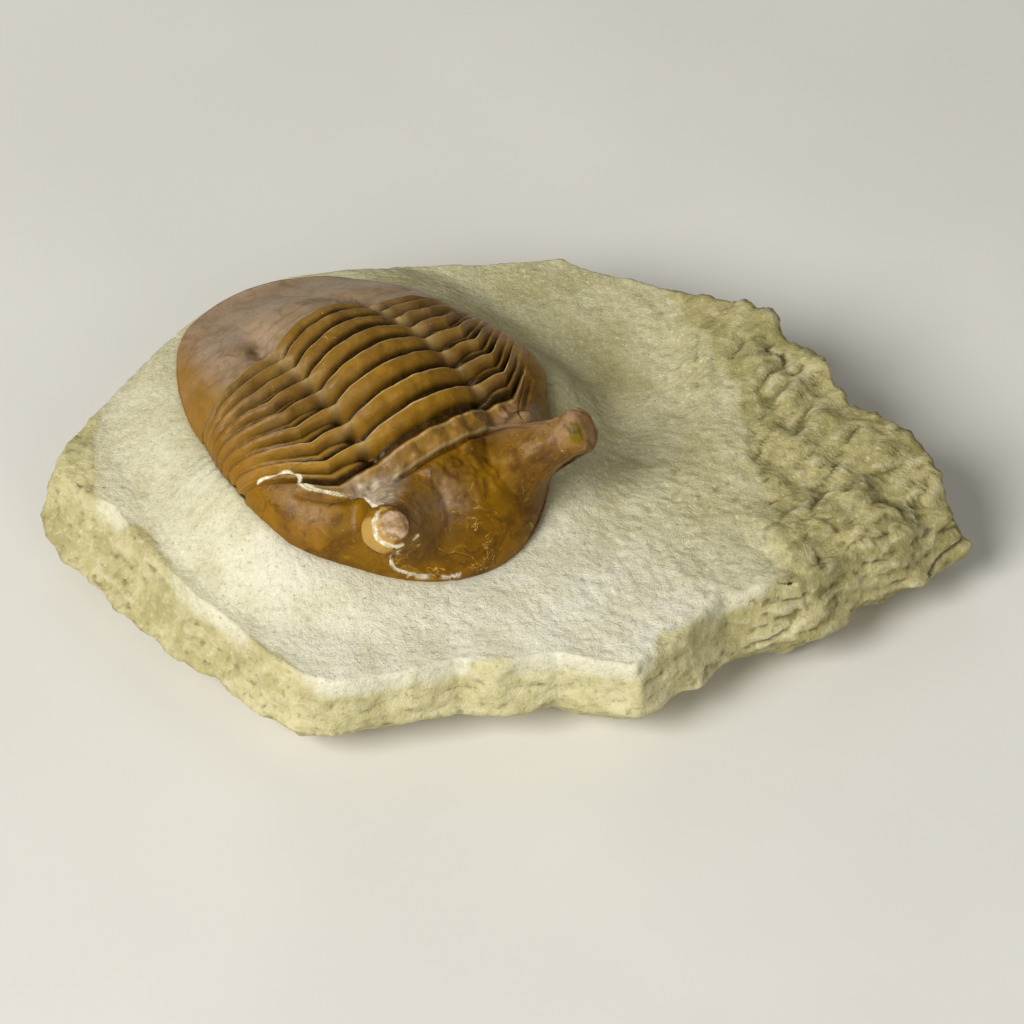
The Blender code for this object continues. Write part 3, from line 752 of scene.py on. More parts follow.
def near_path(body, path, width):
    """1 within a width of a path drawn in (u, v) over the head, 0 a little farther out."""
    path = walked(rounded(path), 0.12)
    drawn = on_head(*path.T)
    found = []
    for first in range(0, len(body), 4000):
        offset = body[first : first + 4000, None] - drawn
        found.append(np.sqrt((offset**2).sum(axis=-1).min(axis=-1)))
    wide = width * (1 + 0.25 * noise(body, 1.3, 2.0))
    return 1 - smooth_step(np.concatenate(found), 0.75 * wide, 1.25 * wide + 0.05)


def head_creases(u, v, to_left_suture):
    """The head's creases, joints and left suture, darkened with painted shade, and its pale edges, painted
    highlight with some wear.
    """
    out = np.abs(v)
    from_joint = u - joint_line(0, v)
    in_ring = 1 - smooth_step(out, 7.6, 8.8)
    joint = 1 - smooth_step(from_joint, 0.0, 0.45)
    crack = 0.6 * (1 - smooth_step(to_left_suture, 0.03, 0.14))
    behind_cheek = smooth_step(out, 9, 11) * (1 - smooth_step(out, 16, 18))
    # painted shade in the joint, along the left suture and in the furrows
    gap = joint + crack + 0.75 * bump_at(u, 3.75, 0.3) * in_ring
    gap = gap + 0.5 * bump_at(from_joint, 2.9, 0.35) * behind_cheek
    # painted highlight on the pale edges, with some wear
    crest_wear_and_highlight = 0.08 * in_ring * smooth_step(u, 0.4, 0.9) * (1 - smooth_step(u, 2.9, 3.3))
    crest_wear_and_highlight = crest_wear_and_highlight + 0.35 * bump_at(from_joint, 0.75, 0.2) * (out < 18) + 0.6 * bump_at(u, 3.2, 0.16) * in_ring
    return np.clip(gap, 0, 1), crest_wear_and_highlight


def head_marks(places, body, shares, to_left_suture):
    """What the head's material reads at each point: see fossil_material()."""
    u, v = places.T
    between_sutures = np.abs(v) < np.interp(u, *np.array(SUTURE).T)
    filling = sum(near_path(body, path, width) for width, path in FILLING)
    speckle = 0.5 + 0.5 * noise(body, 0.9, 4.0)
    filling = filling + 0.75 * spots(places, WHITE_HAZE) * speckle * between_sutures
    milk = spots(places, MILKY_AT_SUTURE) * between_sutures + spots(places, MILKY)
    milk = milk * (0.8 + 0.5 * noise(sheet(u, v), 3.1, 5.0))
    olive = spots(places, OLIVE_ON_LEFT_EYE)
    peach = spots(places, PEACH_ON_LEFT_EYE) * (shares > 0.8)
    glow = 1 - smooth_step(distance_from(body, EYE_GLOW), 2.4, 3.1) + near_path(body, EYE_STREAK, 0.25)
    gap, crest_wear_and_highlight = head_creases(u, v, to_left_suture)
    return {
        "gap": gap,
        "crest_wear_and_highlight": crest_wear_and_highlight,
        "milk": np.clip(milk - olive - peach, 0, 1),
        "dark": np.clip(spots(places, DEEP_BROWN), 0, 1),
        "green": np.clip(olive, 0, 1),
        "white": np.clip(filling, 0, 1),
        "disc": 1 - smooth_step(distance_from(body, EYE_DISC), 1.7, 2.1),
        "glow": np.clip(glow, 0, 1),
        "vein": smooth_step(u, 8.5, 11.5) * smooth_step(-v, -13, -10),
        "amber": 0.75 + 0.25 * smooth_step(u, 8, 16),
        "peach": np.clip(peach, 0, 1),
        "flank": smooth_step(np.abs(v), 14, 22),
    }


def make_head_piece(name, outline, material):
    feet = [((EYE_ROOT[0], side * EYE_ROOT[1]), STALK_FOOT * 0.85, STALK_SPACING) for side in (1, -1)]
    places, faces = plate(outline, SPACING, feet)
    u, v = places.T
    distance = {side: distance_to(places, SUTURES[side]) for side in (1, -1)}
    nearest = np.minimum(distance[1], distance[-1])
    flat = sheet(u, v)
    middle = (1 - smooth_step(np.abs(v), 12, 16)) * (1 - smooth_step(u, 9, 14))
    rough = middle * (0.6 * rough_noise(flat, 3.8, 3, 0.55) + 0.1)
    w = head_height(u, v) + rough + 0.06 * rough_noise(flat, 3.0, 3, 0.5, 9.0)
    body, shares = with_stalks(u, v, w)
    top = on_slab(*body.T)
    out = normals_of(top, faces)
    marks = head_marks(places, body, shares, distance[1])
    edge = 0.12 * (1 - smooth_step(nearest, 0, 0.15)) - 0.1 * marks["white"]
    stalk_rough = 0.16 * smooth_step(shares, 0.1, 0.3) * rough_noise(body, 1.8, 3) * (1 - marks["disc"])
    rim = 0.12 * bump_at(marks["disc"], 0.5, 0.3)
    top = top + out * (stalk_rough + rim - edge + 0.02 * noise(body, 0.5))[:, None]
    points, every, order = with_underside(places, top, faces, np.zeros_like)
    marks = {key: values[order] for key, values in marks.items()}
    return dress(new_object(f"{name}_fossil", points, every), name, material, marks)


# ---- The thorax ----


def segment_height(number, share, v):
    """w on a segment at a share of its length, below 0 under the segment ahead of it."""
    back = JOINTS[number - 1] + share * (JOINTS[number] - JOINTS[number - 1])
    half, edge = axis_half(back), thorax_half(back)
    out = np.abs(v)
    ring = RING_HEIGHT * np.clip(1 - (v / half) ** 2, 0, None)
    on_ring = 1 - smooth_step(out, half - 0.7, half + 0.5)
    split = pleural_furrow(out, half)
    front = steps_at(np.clip(share / split, -0.5, 1), FRONT_BAND_STEPS)
    rear = steps_at(np.clip((share - split) / (1 - split), 0, 1), REAR_BAND_STEPS)
    fade = np.where(v > 0, 1 - 0.9 * smooth_step(out, 15, 19.5), 1 - 0.65 * smooth_step(out, 15.5, edge - 1))
    side = np.where(share < split, front, rear) * fade
    knob = 0.35 * bump_at(out, half + 0.3, 1.0) * bump_at(share, 0.75, 0.2)
    furrow = -1.3 * bump_at(out, half + 0.3, 1.1) * (1 - 0.8 * bump_at(share, 0.78, 0.22))
    steps = on_ring * steps_at(share, RING_STEPS) + (1 - on_ring) * side
    return EDGE_THICKNESS + DOME_HEIGHT * dome(out / edge) + ring + steps + knob + furrow


def pleural_furrow(out, half):
    """The share of a segment's length at which its furrow runs: near its front by the axis, then farther
    back."""
    return 0.34 + 0.2 * smooth_step(out, half, half + 4.5)


def filling_behind(u, v):
    places = np.stack([u.ravel(), v.ravel()], axis=1)
    gap = distance_to(places, rounded(FILLING_BEHIND))
    return (1 - smooth_step(gap, 0.14, 0.26)).reshape(u.shape)


def segment_middle(number):
    return (JOINTS[number - 1] + JOINTS[number]) / 2


def segment_grid(number):
    """u, v and the share of the segment's length at the points of its back."""
    shares = np.concatenate([np.linspace(-0.2, 0.9, ALONG - 10)[:-1], np.linspace(0.9, 1.0, 11)])
    edge = thorax_half(segment_middle(number))
    spread = np.linspace(-1, 1, ACROSS)
    v = edge * np.sin(np.pi / 2 * spread) * 0.35 + 0.65 * edge * spread
    v, share = np.meshgrid(v, shares, indexing="ij")
    tip = smooth_step(np.abs(v), edge - 1.2, edge)
    v = v * (1 - 0.012 * tip * np.abs(2 * np.clip(share, 0, 1) - 1) ** 3)
    start, end = joint_line(number - 1, v), joint_line(number, v)
    wander = 0.12 * noise(np.stack([v, 0 * v + 9.1 * number, 0 * v], axis=-1), 2.3)
    u = start + (share + wander * smooth_step(share, 0, 0.6) * 0.5) * (end - start)
    return u, v, share


def segment_marks(number, u, v, share):
    """What the thorax's material reads on one segment: see fossil_material()."""
    half = axis_half(segment_middle(number))
    out, flat = np.abs(v), sheet(u, v)
    lumps = noise(flat, 4.0, 3.0)
    on_side = smooth_step(out, half - 0.3, half + 1.2)
    above_knee = 1 - np.where(v > 0, smooth_step(out, 15, 18.5), smooth_step(out, 16, 20.5))
    rear = number / SEGMENTS
    # How far back the ring's painted shade reaches: farther on the side away from the key light and on the
    # rear rings
    ring_shade_reach = 0.4 + 0.1 * smooth_step(v, -8, 4) + 0.03 * lumps + 0.14 * smooth_step(number, 2, 7)
    end = ring_shade_reach * (1 - on_side) + (0.3 + 0.14 * rear + 0.06 * (v > 0)) * on_side
    gap = smooth_step(share, 0.97, 1.0) + 1 - smooth_step(share, end - 0.18, end)
    gap = gap * (0.35 + 0.65 * above_knee)
    # painted shade in the furrow and in the pocket at its inner end
    furrow = on_side * bump_at(share, pleural_furrow(out, half), 0.12) * above_knee
    pocket_shade = bump_at(out, half + 0.6, 0.9) * (1 - smooth_step(share, 0.4, 0.66))
    # uneven strength of the pale crests: painted highlight with some wear
    worn = np.clip(0.75 + 0.6 * noise(flat, 2.2, 6.0), 0, 1)
    ring_crest = (1 - on_side) * bump_at(share, 0.93, 0.045)
    side_crest = on_side * bump_at(share, 0.93, 0.035) * above_knee
    knob = bump_at(out, half + 0.4, 0.9) * bump_at(share, 0.78, 0.2)
    return {
        "gap": np.clip(gap + 0.8 * furrow + 0.7 * pocket_shade, 0, 1),
        "crest_wear_and_highlight": np.clip(worn * (ring_crest + 0.8 * side_crest) + 0.4 * knob, 0, 1),
        "milk": np.clip(0.3 * lumps + 0.12 * (v > 0), 0, 1) * on_side,
        "dark": np.clip(0.35 * noise(flat, 3.0, 8.0) * (1 - on_side), 0, 1),
        "amber": np.clip(1.1 - 0.75 * rear - 0.25 * on_side * above_knee + 0.15 * lumps, 0, 1),
        "flank": smooth_step(out, 15, 21),
        "peach": smooth_step(v, 17.5, 20.5),
        "white": filling_behind(u, v) * (number == 1) * (share > 0),
    }


def make_segment(number, material):
    u, v, share = segment_grid(number)
    half = axis_half(segment_middle(number))
    flat = sheet(u, v)
    w = segment_height(number, share, v)
    w = w + 0.09 * rough_noise(flat, 2.0, 4) + 0.1 * noise(flat * (3.0, 0.7, 1.0), 2.0, 4.0)
    fluted = smooth_step(np.abs(v), half, half + 3) * (1 - smooth_step(np.abs(v), 17, 21))
    w = w + 0.16 * fluted * noise(np.stack([2.6 * share, 0.16 * v, 0 * v + number], axis=-1), 0.7, 7.0)
    top = on_slab(u, v, w)
    low = on_slab(u[:, [-1, 0]], v[:, [-1, 0]], 0.0)
    points, faces = lofted(np.concatenate([top, low], axis=1))
    # the underside rows take the full dark gap: painted shade under the segment
    below = {"gap": 1.0, "amber": 0.5}
    marks = {}
    for key, values in segment_marks(number, u, v, share).items():
        rest = np.full((len(u), 2), below.get(key, 0.0))
        marks[key] = np.concatenate([values, rest], axis=1)
    name = f"thorax_segment_{number}"
    return dress(new_object(f"{name}_fossil", points, faces), name, material, marks)


# ---- The tail ----


def tail_height(u, v):
    """w on the tail: its dome, the low axis with its first rings, the front rib and the hollows beside."""
    behind = np.clip((-u - THORAX_LENGTH) / TAIL_LENGTH, 0, 1)
    out = np.abs(v)
    reach = np.sqrt(behind**2 + (v / THORAX_HALF_REAR) ** 2)
    half = np.interp(behind, [0, 0.8, 1], [AXIS_HALF_REAR, 4.2, 3.5])
    height = np.interp(behind, [0, 0.12, 0.5, 0.85], [2.4, 1.6, 0.8, 0.0])
    axis = height * np.clip(1 - (v / half) ** 2, 0, None)
    hollow = -0.7 * bump_at(out, half + 0.8, 2.0) * (1 - smooth_step(behind, 0.05, 0.7))
    pit = -0.5 * bump_at(out, half + 0.4, 1.0) * bump_at(behind, 0.17, 0.08)
    rib = -0.7 * bump_at(behind, 0.15 + 0.05 * (out - 8) / 12, 0.028) * (1 - smooth_step(out, 15, 20))
    rib = rib * smooth_step(out, half - 1, half + 1)
    rings = -0.45 * (bump_at(behind, 0.075, 0.018) + 0.8 * bump_at(behind, 0.15, 0.02))
    rings = (rings - 0.3 * bump_at(behind, 0.225, 0.022)) * (1 - smooth_step(out, half - 1.5, half))
    ring_ends = bump_at(behind, 0.11, 0.022) + bump_at(behind, 0.185, 0.02)
    knobs = 0.35 * bump_at(out, half - 1.2, 0.8) * ring_ends
    front = -0.9 * (1 - smooth_step(joint_line(SEGMENTS, v) - u, 0.0, 0.5)) ** 2
    rise = (DOME_HEIGHT - underside(u)) * dome(reach)
    swell = TAIL_SWELL * (1 - np.clip(reach, 0, 1) ** 2) * smooth_step(behind, 0, 0.35)
    base = underside(u) + EDGE_THICKNESS + rise + swell
    return base + axis + hollow + pit + rib + rings + knobs + front


def tail_outline():
    corner = -THORAX_LENGTH - SWEEP_REAR
    length = TAIL_LENGTH - SWEEP_REAR
    turn = np.radians(np.linspace(-89, 89, 400))
    edge = np.stack([corner - length * np.cos(turn), THORAX_HALF_REAR * np.sin(turn)], axis=1)
    v = np.linspace(edge[-1, 1], edge[0, 1], 300)
    front = np.stack([joint_line(SEGMENTS, v), v], axis=1)
    return walked(np.concatenate([edge, front]), SPACING)[:-1][::-1]


def make_tail(material):
    places, faces = plate(tail_outline(), SPACING)
    u, v = places.T
    flat = sheet(u, v)
    w = tail_height(u, v) + 0.12 * rough_noise(flat, 6.0, 4)
    top = on_slab(u, v, w)
    top = top + normals_of(top, faces) * (0.015 * noise(flat, 0.6))[:, None]
    points, every, order = with_underside(places, top, faces, underside)
    behind = (-u - THORAX_LENGTH) / TAIL_LENGTH
    reach = np.sqrt(behind**2 + (v / THORAX_HALF_REAR) ** 2)
    right_margin = smooth_step(-v, 10, 20) * smooth_step(reach, 0.6, 0.95)
    marks = {
        # painted shade at the joint with the last segment
        "gap": 1 - smooth_step(joint_line(SEGMENTS, v) - u, 0.0, 0.5),
        "milk": np.clip(0.75 + 0.35 * noise(flat, 5.0, 6.0) - 0.75 * right_margin, 0, 1),
        "dark": 0.9 * bump_at(np.abs(v), 8.6, 1.8) * bump_at(behind, 0.15, 0.1),
        "amber": 0.1 + 0.8 * smooth_step(reach, 0.6, 1.0) * smooth_step(-v, 4, 18),
        "flank": smooth_step(reach, 0.7, 1.0) * smooth_step(-v, 6, 16),
    }
    marks = {key: values[order] for key, values in marks.items()}
    return dress(new_object("pygidium_fossil", points, every), "pygidium", material, marks)


# ---- The stone ----


def inside_outline(x, y, outline):
    """Whether each point lies inside a closed outline."""
    corners = np.array(outline)
    inside = np.zeros(x.shape, bool)
    for (x0, y0), (x1, y1) in zip(corners, np.roll(corners, -1, axis=0)):
        crosses = (y0 > y) != (y1 > y)
        if y1 != y0:
            inside ^= crosses & (x < (x1 - x0) * (y - y0) / (y1 - y0) + x0)
    return inside


def cleared_share(points):
    """1 on the part of the top that was cleared round the fossil, 0 on the natural stone."""
    x = points[..., 0] + 1.1 * rough_noise(points, 5.0, 3)
    y = points[..., 1] + 1.1 * rough_noise(points, 5.0, 3, 0.5, 20.0)
    flat = np.stack([x.ravel(), y.ravel()], axis=1)
    outline = np.array(CLEARED + CLEARED[:1])
    gap = distance_to(flat, outline).reshape(x.shape)
    signed = np.where(inside_outline(x, y, CLEARED), gap, -gap)
    return smooth_step(signed, -0.3, 0.9) * smooth_step(points[..., 2], -3.5, -1.5)


def ledges(points, size, steps, offset=0.0):
    """Noise in flat steps with worn edges, 0 to 1."""
    level = steps * (0.5 + 0.5 * np.clip(rough_noise(points, size, 3, 0.5, offset), -1, 1))
    whole = np.floor(level)
    return (whole + smooth_step(level - whole, 0.3, 0.7)) / steps


def stone_relief(points, cleared):
    """How far the stone's skin stands out of its plain shape."""
    x, y, z = points.T
    grain = np.stack([0.3 * (x + y), 0.7 * (x - y), 1.6 * z], axis=1)
    top_right = smooth_step(x, 26, 36)
    broken = (0.4 + 1.3 * top_right) * (ledges(grain, 8.0, 4) - 0.5)
    broken = broken + (0.35 + 0.25 * top_right) * (ledges(grain, 2.8, 3, 9.0) - 0.5)
    broken = broken + 0.2 * rough_noise(points, 2.2, 3, 0.7, 3.0)
    crevice = smooth_step(ridged(grain, 6.0, 40.0), 0.86, 0.97)
    crevice = crevice * smooth_step(noise(points, 5.0, 50.0), -0.1, 0.3)
    broken = broken - 0.65 * top_right * crevice
    beds = 0.4 * (ridged(points * (0.14, 0.14, 1.0), 2.0) - 0.7)
    fine = 0.1 * rough_noise(points, 1.5, 2, 0.8, 5.0) + 0.1 * noise(points, 4.5, 30.0)
    coarse = 0.2 * rough_noise(points, 1.9, 2, 0.7, 12.0) * smooth_step(x, -5, 24)
    tooled = 0.3 * noise(points * (1.0, 0.3, 0.6), 1.7, 17.0) * bump_at(x, 25.0, 5.0)
    tooled = tooled * smooth_step(y, 20, 26)
    return (1 - cleared) * (broken + beds + 0.1) + cleared * (fine + coarse + tooled)


def between(first, second, count):
    return [first + k / count * (second - first) for k in range(count)]


def stone_rings():
    """The slab's rings as in the CAD, with finer ones between those of its sides."""
    over = 1 - (np.arange(STONE_OVER) + 1) / (STONE_OVER + 1)
    rings = slab_rings(STONE_AROUND, over, STONE_INSIDE, STONE_SUNK)
    fine = []
    for k in range(SIDE_RINGS - 1):
        fine += between(rings[k], rings[k + 1], STONE_UP)
    return np.array(fine + rings[SIDE_RINGS - 1 :])


def make_stone(material):
    rings = stone_rings()
    points, faces = lofted(rings)
    quads = np.array(faces[:-2])
    halves = np.concatenate([quads[:, [0, 1, 2]], quads[:, [0, 2, 3]]])
    out = normals_of(points, halves)
    cleared = cleared_share(points)
    relief = stone_relief(points, cleared)
    in_sight = np.arange(len(rings)) <= len(rings) - len(STONE_INSIDE)
    in_sight = np.repeat(in_sight, rings.shape[1])
    above_base = smooth_step(points[:, 2], -SLAB_DEPTH, -SLAB_DEPTH + 2.5)
    edge = distance_to_animal(points)
    off_edge = 0.35 + 0.65 * smooth_step(edge, 0.2, 2.5)
    points = points + out * (relief * above_base * off_edge * in_sight)[:, None]
    # how far a point lies below its neighbours: pits get painted shade, edges painted highlight
    depth = relief - neighbourhood(relief, rings.shape[:2], 3)
    painted_front_light = smooth_step(-0.6 * points[:, 0] - points[:, 1], -22, 14)
    marks = {
        "cleared": cleared,
        "hollow": np.clip(0.5 - 2.2 * depth, 0, 1),
        # painted light: paler toward the front, and less so far to the left
        "white": painted_front_light * (1 - 0.6 * smooth_step(-points[:, 0], 18, 50)),
        # painted contact shadow on the ground close to the fossil
        "near": 1 - smooth_step(edge, 0.0, 1.1),
    }
    return dress(new_object("matrix_stone", points, faces), "matrix", material, marks)


def distance_to_animal(points):
    edge = animal_edge(90)[:, :2]
    return distance_to(points[:, :2], np.concatenate([edge, edge[:1]]))


def neighbourhood(values, shape, reach):
    """The mean of values over nearby points of a grid of rings."""
    grid = values.reshape(shape)
    for _ in range(reach):
        grid = (np.roll(grid, 1, 1) + np.roll(grid, -1, 1) + 2 * grid) / 4
        grid[1:-1] = (grid[:-2] + 2 * grid[1:-1] + grid[2:]) / 4
    return grid.ravel()


# ---- Materials ----


def colour(code):
    """A linear colour from a hex code."""
    parts = [int(code[k : k + 2], 16) / 255 for k in (1, 3, 5)]
    return (*[p / 12.92 if p <= 0.04045 else ((p + 0.055) / 1.055) ** 2.4 for p in parts], 1.0)


class Nodes:
    """Short ways to add a material's nodes."""

    def __init__(self, name):
        self.material = bpy.data.materials.new(name)
        self.material.use_nodes = True
        self.tree = self.material.node_tree
        self.surface = self.tree.nodes["Principled BSDF"]
        self.place = self.add("ShaderNodeTexCoord").outputs["Object"]

    def add(self, kind, settings=(), inputs=()):
        node = self.tree.nodes.new(kind)
        for key, value in dict(settings).items():
            setattr(node, key, value)
        for key, value in dict(inputs).items():
            self.set(node.inputs[key], value)
        return node

    def set(self, socket, value):
        if isinstance(value, bpy.types.NodeSocket):
            self.tree.links.new(value, socket)
        else:
            socket.default_value = value

    def mark(self, name, most=None):
        """A mark of the mesh, 0 to 1, or 0 to a given most."""
        value = self.add("ShaderNodeAttribute", {"attribute_name": name}).outputs["Fac"]
        return value if most is None else self.times(value, most)

    def noise(self, size, detail=3.0, rough=0.5, warp=0.0):
        """Noise with lumps of a size in mm."""
        inputs = {"Vector": self.place, "Scale": 1000.0 / size, "Detail": detail}
        inputs.update({"Roughness": rough, "Distortion": warp})
        return self.add("ShaderNodeTexNoise", (), inputs).outputs["Fac"]

    def step(self, value, low, high, to_low=0.0, to_high=1.0):
        inputs = {"Value": value, "From Min": low, "From Max": high, "To Min": to_low, "To Max": to_high}
        return self.add("ShaderNodeMapRange", {"interpolation_type": "SMOOTHSTEP"}, inputs).outputs["Result"]

    def math(self, operation, a, b=0.0):
        return self.add("ShaderNodeMath", {"operation": operation}, {0: a, 1: b}).outputs[0]

    def times(self, a, b):
        return self.math("MULTIPLY", a, b)

    def mix(self, share, a, b):
        node = self.add("ShaderNodeMix", {"data_type": "RGBA"}, {0: share, 6: a, 7: b})
        return node.outputs[2]

    def coats(self, base, layers):
        """A base colour under layers, each a share and a colour, the last on top."""
        for share, tint in layers:
            base = self.mix(share, base, colour(tint) if isinstance(tint, str) else tint)
        return base

    def bump(self, height, depth, strength=1.0, under=None):
        inputs = {"Height": height, "Distance": depth * MM, "Strength": strength}
        if under is not None:
            inputs["Normal"] = under
        return self.add("ShaderNodeBump", (), inputs).outputs["Normal"]

    def finish(self, inputs):
        for key, value in inputs.items():
            self.set(self.surface.inputs[key], value)
        return self.material


def stone_material():
    """The limestone. It reads these marks, all 0 to 1: cleared, the worked top; hollow, from 0.5 up in pits,
    which get painted shade, and down on edges, which get painted highlight; white, where the stone is painted
    paler toward the front, as painted light; near, the ground close to the fossil, darkened as painted
    contact shadow."""
    n = Nodes("stone")
    white = n.mark("white")
    patches = n.step(n.noise(8.0, 5.0, 0.6), 0.36, 0.64)
    grains = n.noise(0.7, 4.0, 0.75)
    chalk = n.mix(patches, colour("#c6c09a"), colour("#b3ac80"))
    # paler where the white mark is: painted light toward the front
    chalk = n.mix(white, chalk, n.mix(patches, colour("#e6e3d0"), colour("#d9d5bb")))
    chalk = n.coats(
        chalk,
        [
            (n.step(grains, 0.52, 0.72, 0.0, 0.55), "#efecdd"),
            (n.step(grains, 0.47, 0.3, 0.0, 0.5), "#958e63"),
            (n.step(n.noise(0.6, 2.0, 0.6, 0.5), 0.68, 0.75, 0.0, 0.65), "#6f6a45"),
        ],
    )
    blotches = n.step(n.noise(5.0, 6.0, 0.7), 0.36, 0.64)
    weathered = n.mix(blotches, colour("#968d5a"), colour("#b9af7e"))
    # the same painted light on the natural stone
    weathered = n.mix(white, weathered, n.mix(blotches, colour("#bbb280"), colour("#d5cda3")))
    weathered = n.coats(
        weathered,
        [
            (n.step(n.noise(0.9, 4.0, 0.75), 0.52, 0.75, 0.0, 0.55), "#e3ddbb"),
            (n.step(n.noise(1.3, 5.0, 0.75), 0.45, 0.28, 0.0, 0.7), "#7b7144"),
        ],
    )
    hollow = n.mark("hollow")
    base = n.coats(
        n.mix(n.mark("cleared"), weathered, chalk),
        [
            # painted shade in the pits, then painted highlight on the edges
            (n.step(hollow, 0.55, 1.0, 0.0, 0.7), "#5f5737"),
            (n.step(hollow, 0.42, 0.05, 0.0, 0.2), "#f0ebd6"),
            # painted contact shadow next to the fossil
            (n.mark("near", 0.3), "#8d7f52"),
        ],
    )
    relief = n.bump(n.noise(0.35, 4.0, 0.7), 0.2, 0.9)
    relief = n.bump(n.noise(1.2, 5.0, 0.7), 0.35, 0.75, relief)
    return n.finish({"Base Color": base, "Roughness": 0.92, "Specular IOR Level": 0.25, "Normal": relief})


def calcite_colour(n, amber, taupe, patchy):
    """The fossil's own colour, light and deep in clouds, under its patches, stains and flecks."""
    light = n.mix(n.mark("amber"), colour(taupe[0]), colour(amber[0]))
    deep = n.mix(n.mark("amber"), colour(taupe[1]), colour(amber[1]))
    cloudy = n.times(n.mark("milk"), n.step(n.noise(2.0, 5.0, 0.65, 0.8), 0.3, 0.6, 0.25, 1.0))
    brown = n.times(n.mark("dark"), n.step(n.noise(1.8, 4.0, 0.65, 0.8), 0.3, 0.6, 0.2, 1.0))
    return n.coats(
        n.mix(n.step(n.noise(6.0, 5.0, 0.6, 0.8), 0.25, 0.75), deep, light),
        [
            (n.mark("flank", 0.4), "#865c0c"),
            (n.mark("peach", 0.6), "#bd8746"),
            (n.mark("green", 0.85), "#5f5a12"),
            (n.times(cloudy, 0.8), "#ad9480"),
            (n.times(brown, 0.85), "#351c06"),
            (n.step(n.noise(0.7, 4.0, 0.75, 0.5), 0.55, 0.8, 0.0, 0.2), "#c4953a"),
            (n.step(n.noise(3.4, 5.0, 0.65, 1.0), 0.5, 0.68, 0.0, patchy), "#4a2c06"),
            (n.step(n.noise(2.7, 5.0, 0.65, 1.0), 0.55, 0.75, 0.0, 0.7 * patchy), "#a97f20"),
        ],
    )


def vein_share(n):
    """Fine cracks along the middle level of a noise, in some places only."""
    level = n.math("ABSOLUTE", n.math("SUBTRACT", n.noise(6.0, 4.0, 0.55, 1.2), 0.5))
    somewhere = n.times(n.mark("vein"), n.step(n.noise(5.0), 0.45, 0.55))
    return n.times(n.times(n.step(level, 0.007, 0.002), somewhere), 0.7)


def fossil_material(name, amber, taupe, patchy):
    """The fossil's calcite, from its amber and its taupe, each a light and a deep colour, and the strength of
    its stains. It reads these marks, all 0 to 1: gap, dark creases and joints, painted shade with some real
    stain; crest, a pale edge, painted highlight along the lit crests with some wear; milk, a cloudy patch;
    dark, a deep brown patch; green, a clear olive patch; peach, a pale orange patch; white, the suture's
    filling; disc, the right eye's flat end; glow, the yellow calcite round it; vein, fine yellow cracks;
    amber, from taupe to amber; flank, the orange of the low sides."""
    n = Nodes(name)
    crease_stain_and_shade = n.step(n.noise(0.8, 4.0, 0.7), 0.25, 0.6, 0.7, 0.92)
    eye = n.mix(n.step(n.noise(1.6, 4.0, 0.6, 0.6), 0.4, 0.65), colour("#8d6f45"), colour("#c2a58c"))
    filling = n.mix(n.step(n.noise(0.8), 0.4, 0.6), colour("#cfc6a8"), colour("#f1ecdc"))
    base = n.coats(
        calcite_colour(n, amber, taupe, patchy),
        [
            # painted shade in the creases and joints, with some real dark stain
            (n.times(n.mark("gap"), crease_stain_and_shade), "#1e1004"),
            # painted highlight along the lit crests, with some wear
            (n.mark("crest_wear_and_highlight", 0.8), "#dcc493"),
            (n.step(n.noise(0.45, 2.0, 0.7, 1.0), 0.71, 0.78, 0.0, 0.75), "#e3d3ac"),
            (vein_share(n), "#d9b55c"),
            (n.mark("glow", 0.75), "#b3914a"),
            (n.mark("disc"), eye),
            (n.mark("white", 0.95), filling),
        ],
    )
    gloss = n.math("ADD", n.step(n.noise(1.2, 4.0, 0.7), 0.3, 0.7, 0.27, 0.45), n.mark("white", 0.4))
    relief = n.bump(n.noise(0.3, 3.0, 0.65), 0.06, 0.6)
    relief = n.bump(n.noise(1.3, 4.0, 0.6), 0.14, 0.55, relief)
    return n.finish(
        {
            "Base Color": base,
            "Roughness": gloss,
            "Normal": relief,
            "Specular IOR Level": 0.17,
            "Subsurface Weight": 0.1,
            "Subsurface Radius": (1.0, 0.6, 0.2),
            "Subsurface Scale": 0.0012,
        }
    )


# ---- Floor, light and camera ----


def floor_material():
    n = Nodes("floor")
    tone = n.mix(n.step(n.noise(60.0), 0.3, 0.7), colour("#d9d7d2"), colour("#dedcd7"))
    return n.finish({"Base Color": tone, "Roughness": 0.8})


def make_floor():
    mesh = bpy.data.meshes.new("floor")
    corners = [(x * FLOOR_HALF, y * FLOOR_HALF, 0) for x, y in ((-1, -1), (1, -1), (1, 1), (-1, 1))]
    mesh.from_pydata(corners, [], [(0, 1, 2, 3)])
    mesh.materials.append(floor_material())
    floor = bpy.data.objects.new("floor", mesh)
    bpy.context.scene.collection.objects.link(floor)


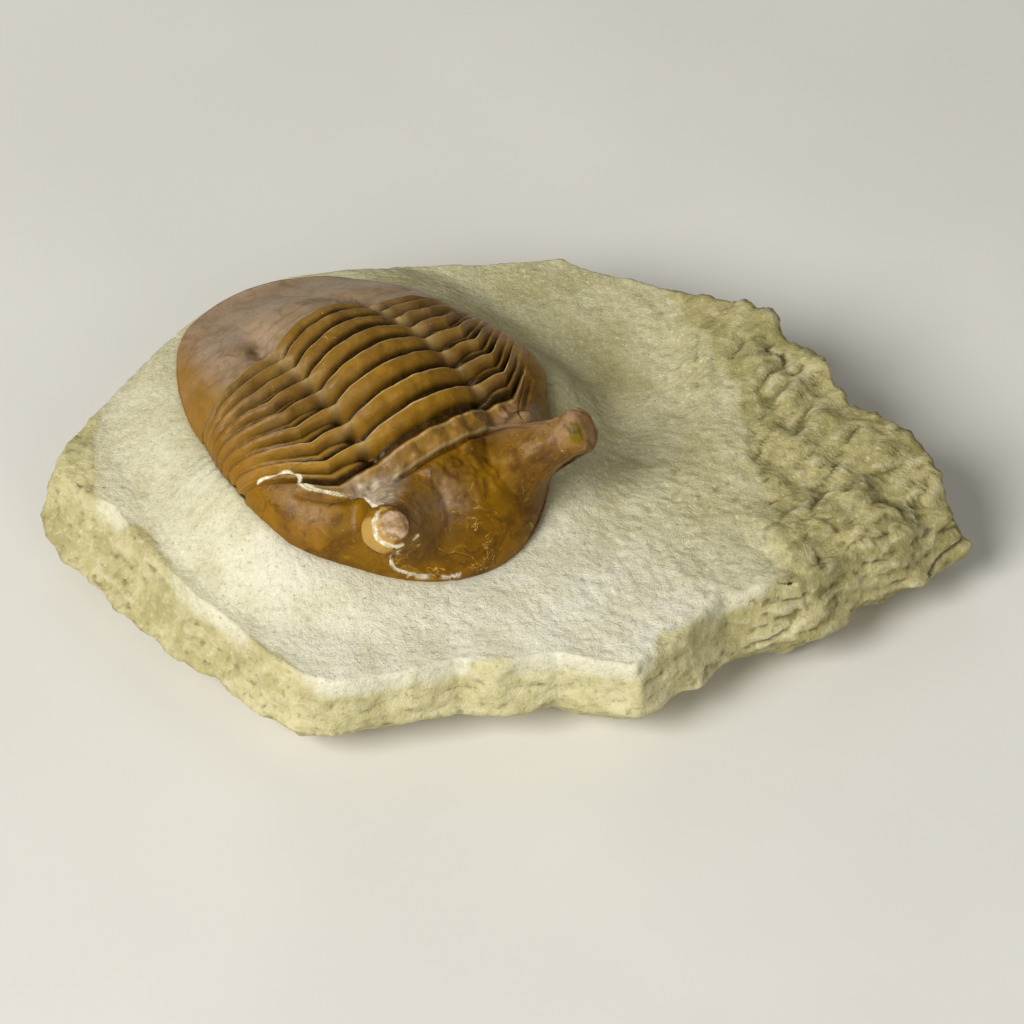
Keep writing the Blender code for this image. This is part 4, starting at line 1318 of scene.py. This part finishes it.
def make_light(name, place, size, power, tint):
    """A round lamp that faces the origin: its place and size in m, its power in W."""
    data = bpy.data.lights.new(name, "AREA")
    data.shape = "DISK"
    data.size = size
    data.energy = power
    data.color = tint
    light = bpy.data.objects.new(name, data)
    light.location = place
    light.rotation_euler = Vector(place).to_track_quat("Z", "Y").to_euler()
    bpy.context.scene.collection.objects.link(light)


def light_studio():
    make_light("key", (-0.62, -0.6, 0.74), 0.65, 14.3, (1.0, 0.985, 0.94))
    make_light("fill", (0.3, -0.7, 0.45), 0.5, 1.7, (1.0, 0.98, 0.9))
    make_light("back", (-0.1, 0.6, 0.6), 0.5, 0.6, (1.0, 0.98, 0.9))
    world = bpy.data.worlds.new("studio")
    world.use_nodes = True
    world.node_tree.nodes["Background"].inputs["Color"].default_value = (0.9, 0.88, 0.8, 1)
    world.node_tree.nodes["Background"].inputs["Strength"].default_value = 0.15
    bpy.context.scene.world = world
    bpy.context.scene.view_settings.view_transform = "Standard"


def place_camera():
    data = bpy.data.cameras.new("camera")
    data.sensor_width = CAMERA_SENSOR
    data.lens = CAMERA_LENS
    camera = bpy.data.objects.new("camera", data)
    target = Vector(ORIGIN * MM)
    camera.location = target + CAMERA_DISTANCE * Vector((0, -math.cos(CAMERA_RISE), math.sin(CAMERA_RISE)))
    camera.rotation_euler = (math.pi / 2 - CAMERA_RISE, 0, 0)
    bpy.context.scene.collection.objects.link(camera)
    bpy.context.scene.camera = camera


def main():
    make_stone(stone_material())
    head = fossil_material("fossil_head", ("#8f6400", "#603d00"), ("#8a6a1e", "#5c400a"), 0.6)
    thorax = fossil_material("fossil_thorax", ("#9d7522", "#7b5612"), ("#8a6c36", "#63491f"), 0.22)
    tail = fossil_material("fossil_tail", ("#a0741a", "#7c540a"), ("#917c56", "#6c5734"), 0.12)
    make_head_piece("cranidium", cranidium_outline(), head)
    make_head_piece("free_cheek_left", cheek_outline(1), head)
    make_head_piece("free_cheek_right", cheek_outline(-1), head)
    for number in range(1, SEGMENTS + 1):
        make_segment(number, thorax)
    make_tail(tail)
    make_floor()
    light_studio()
    place_camera()


main()
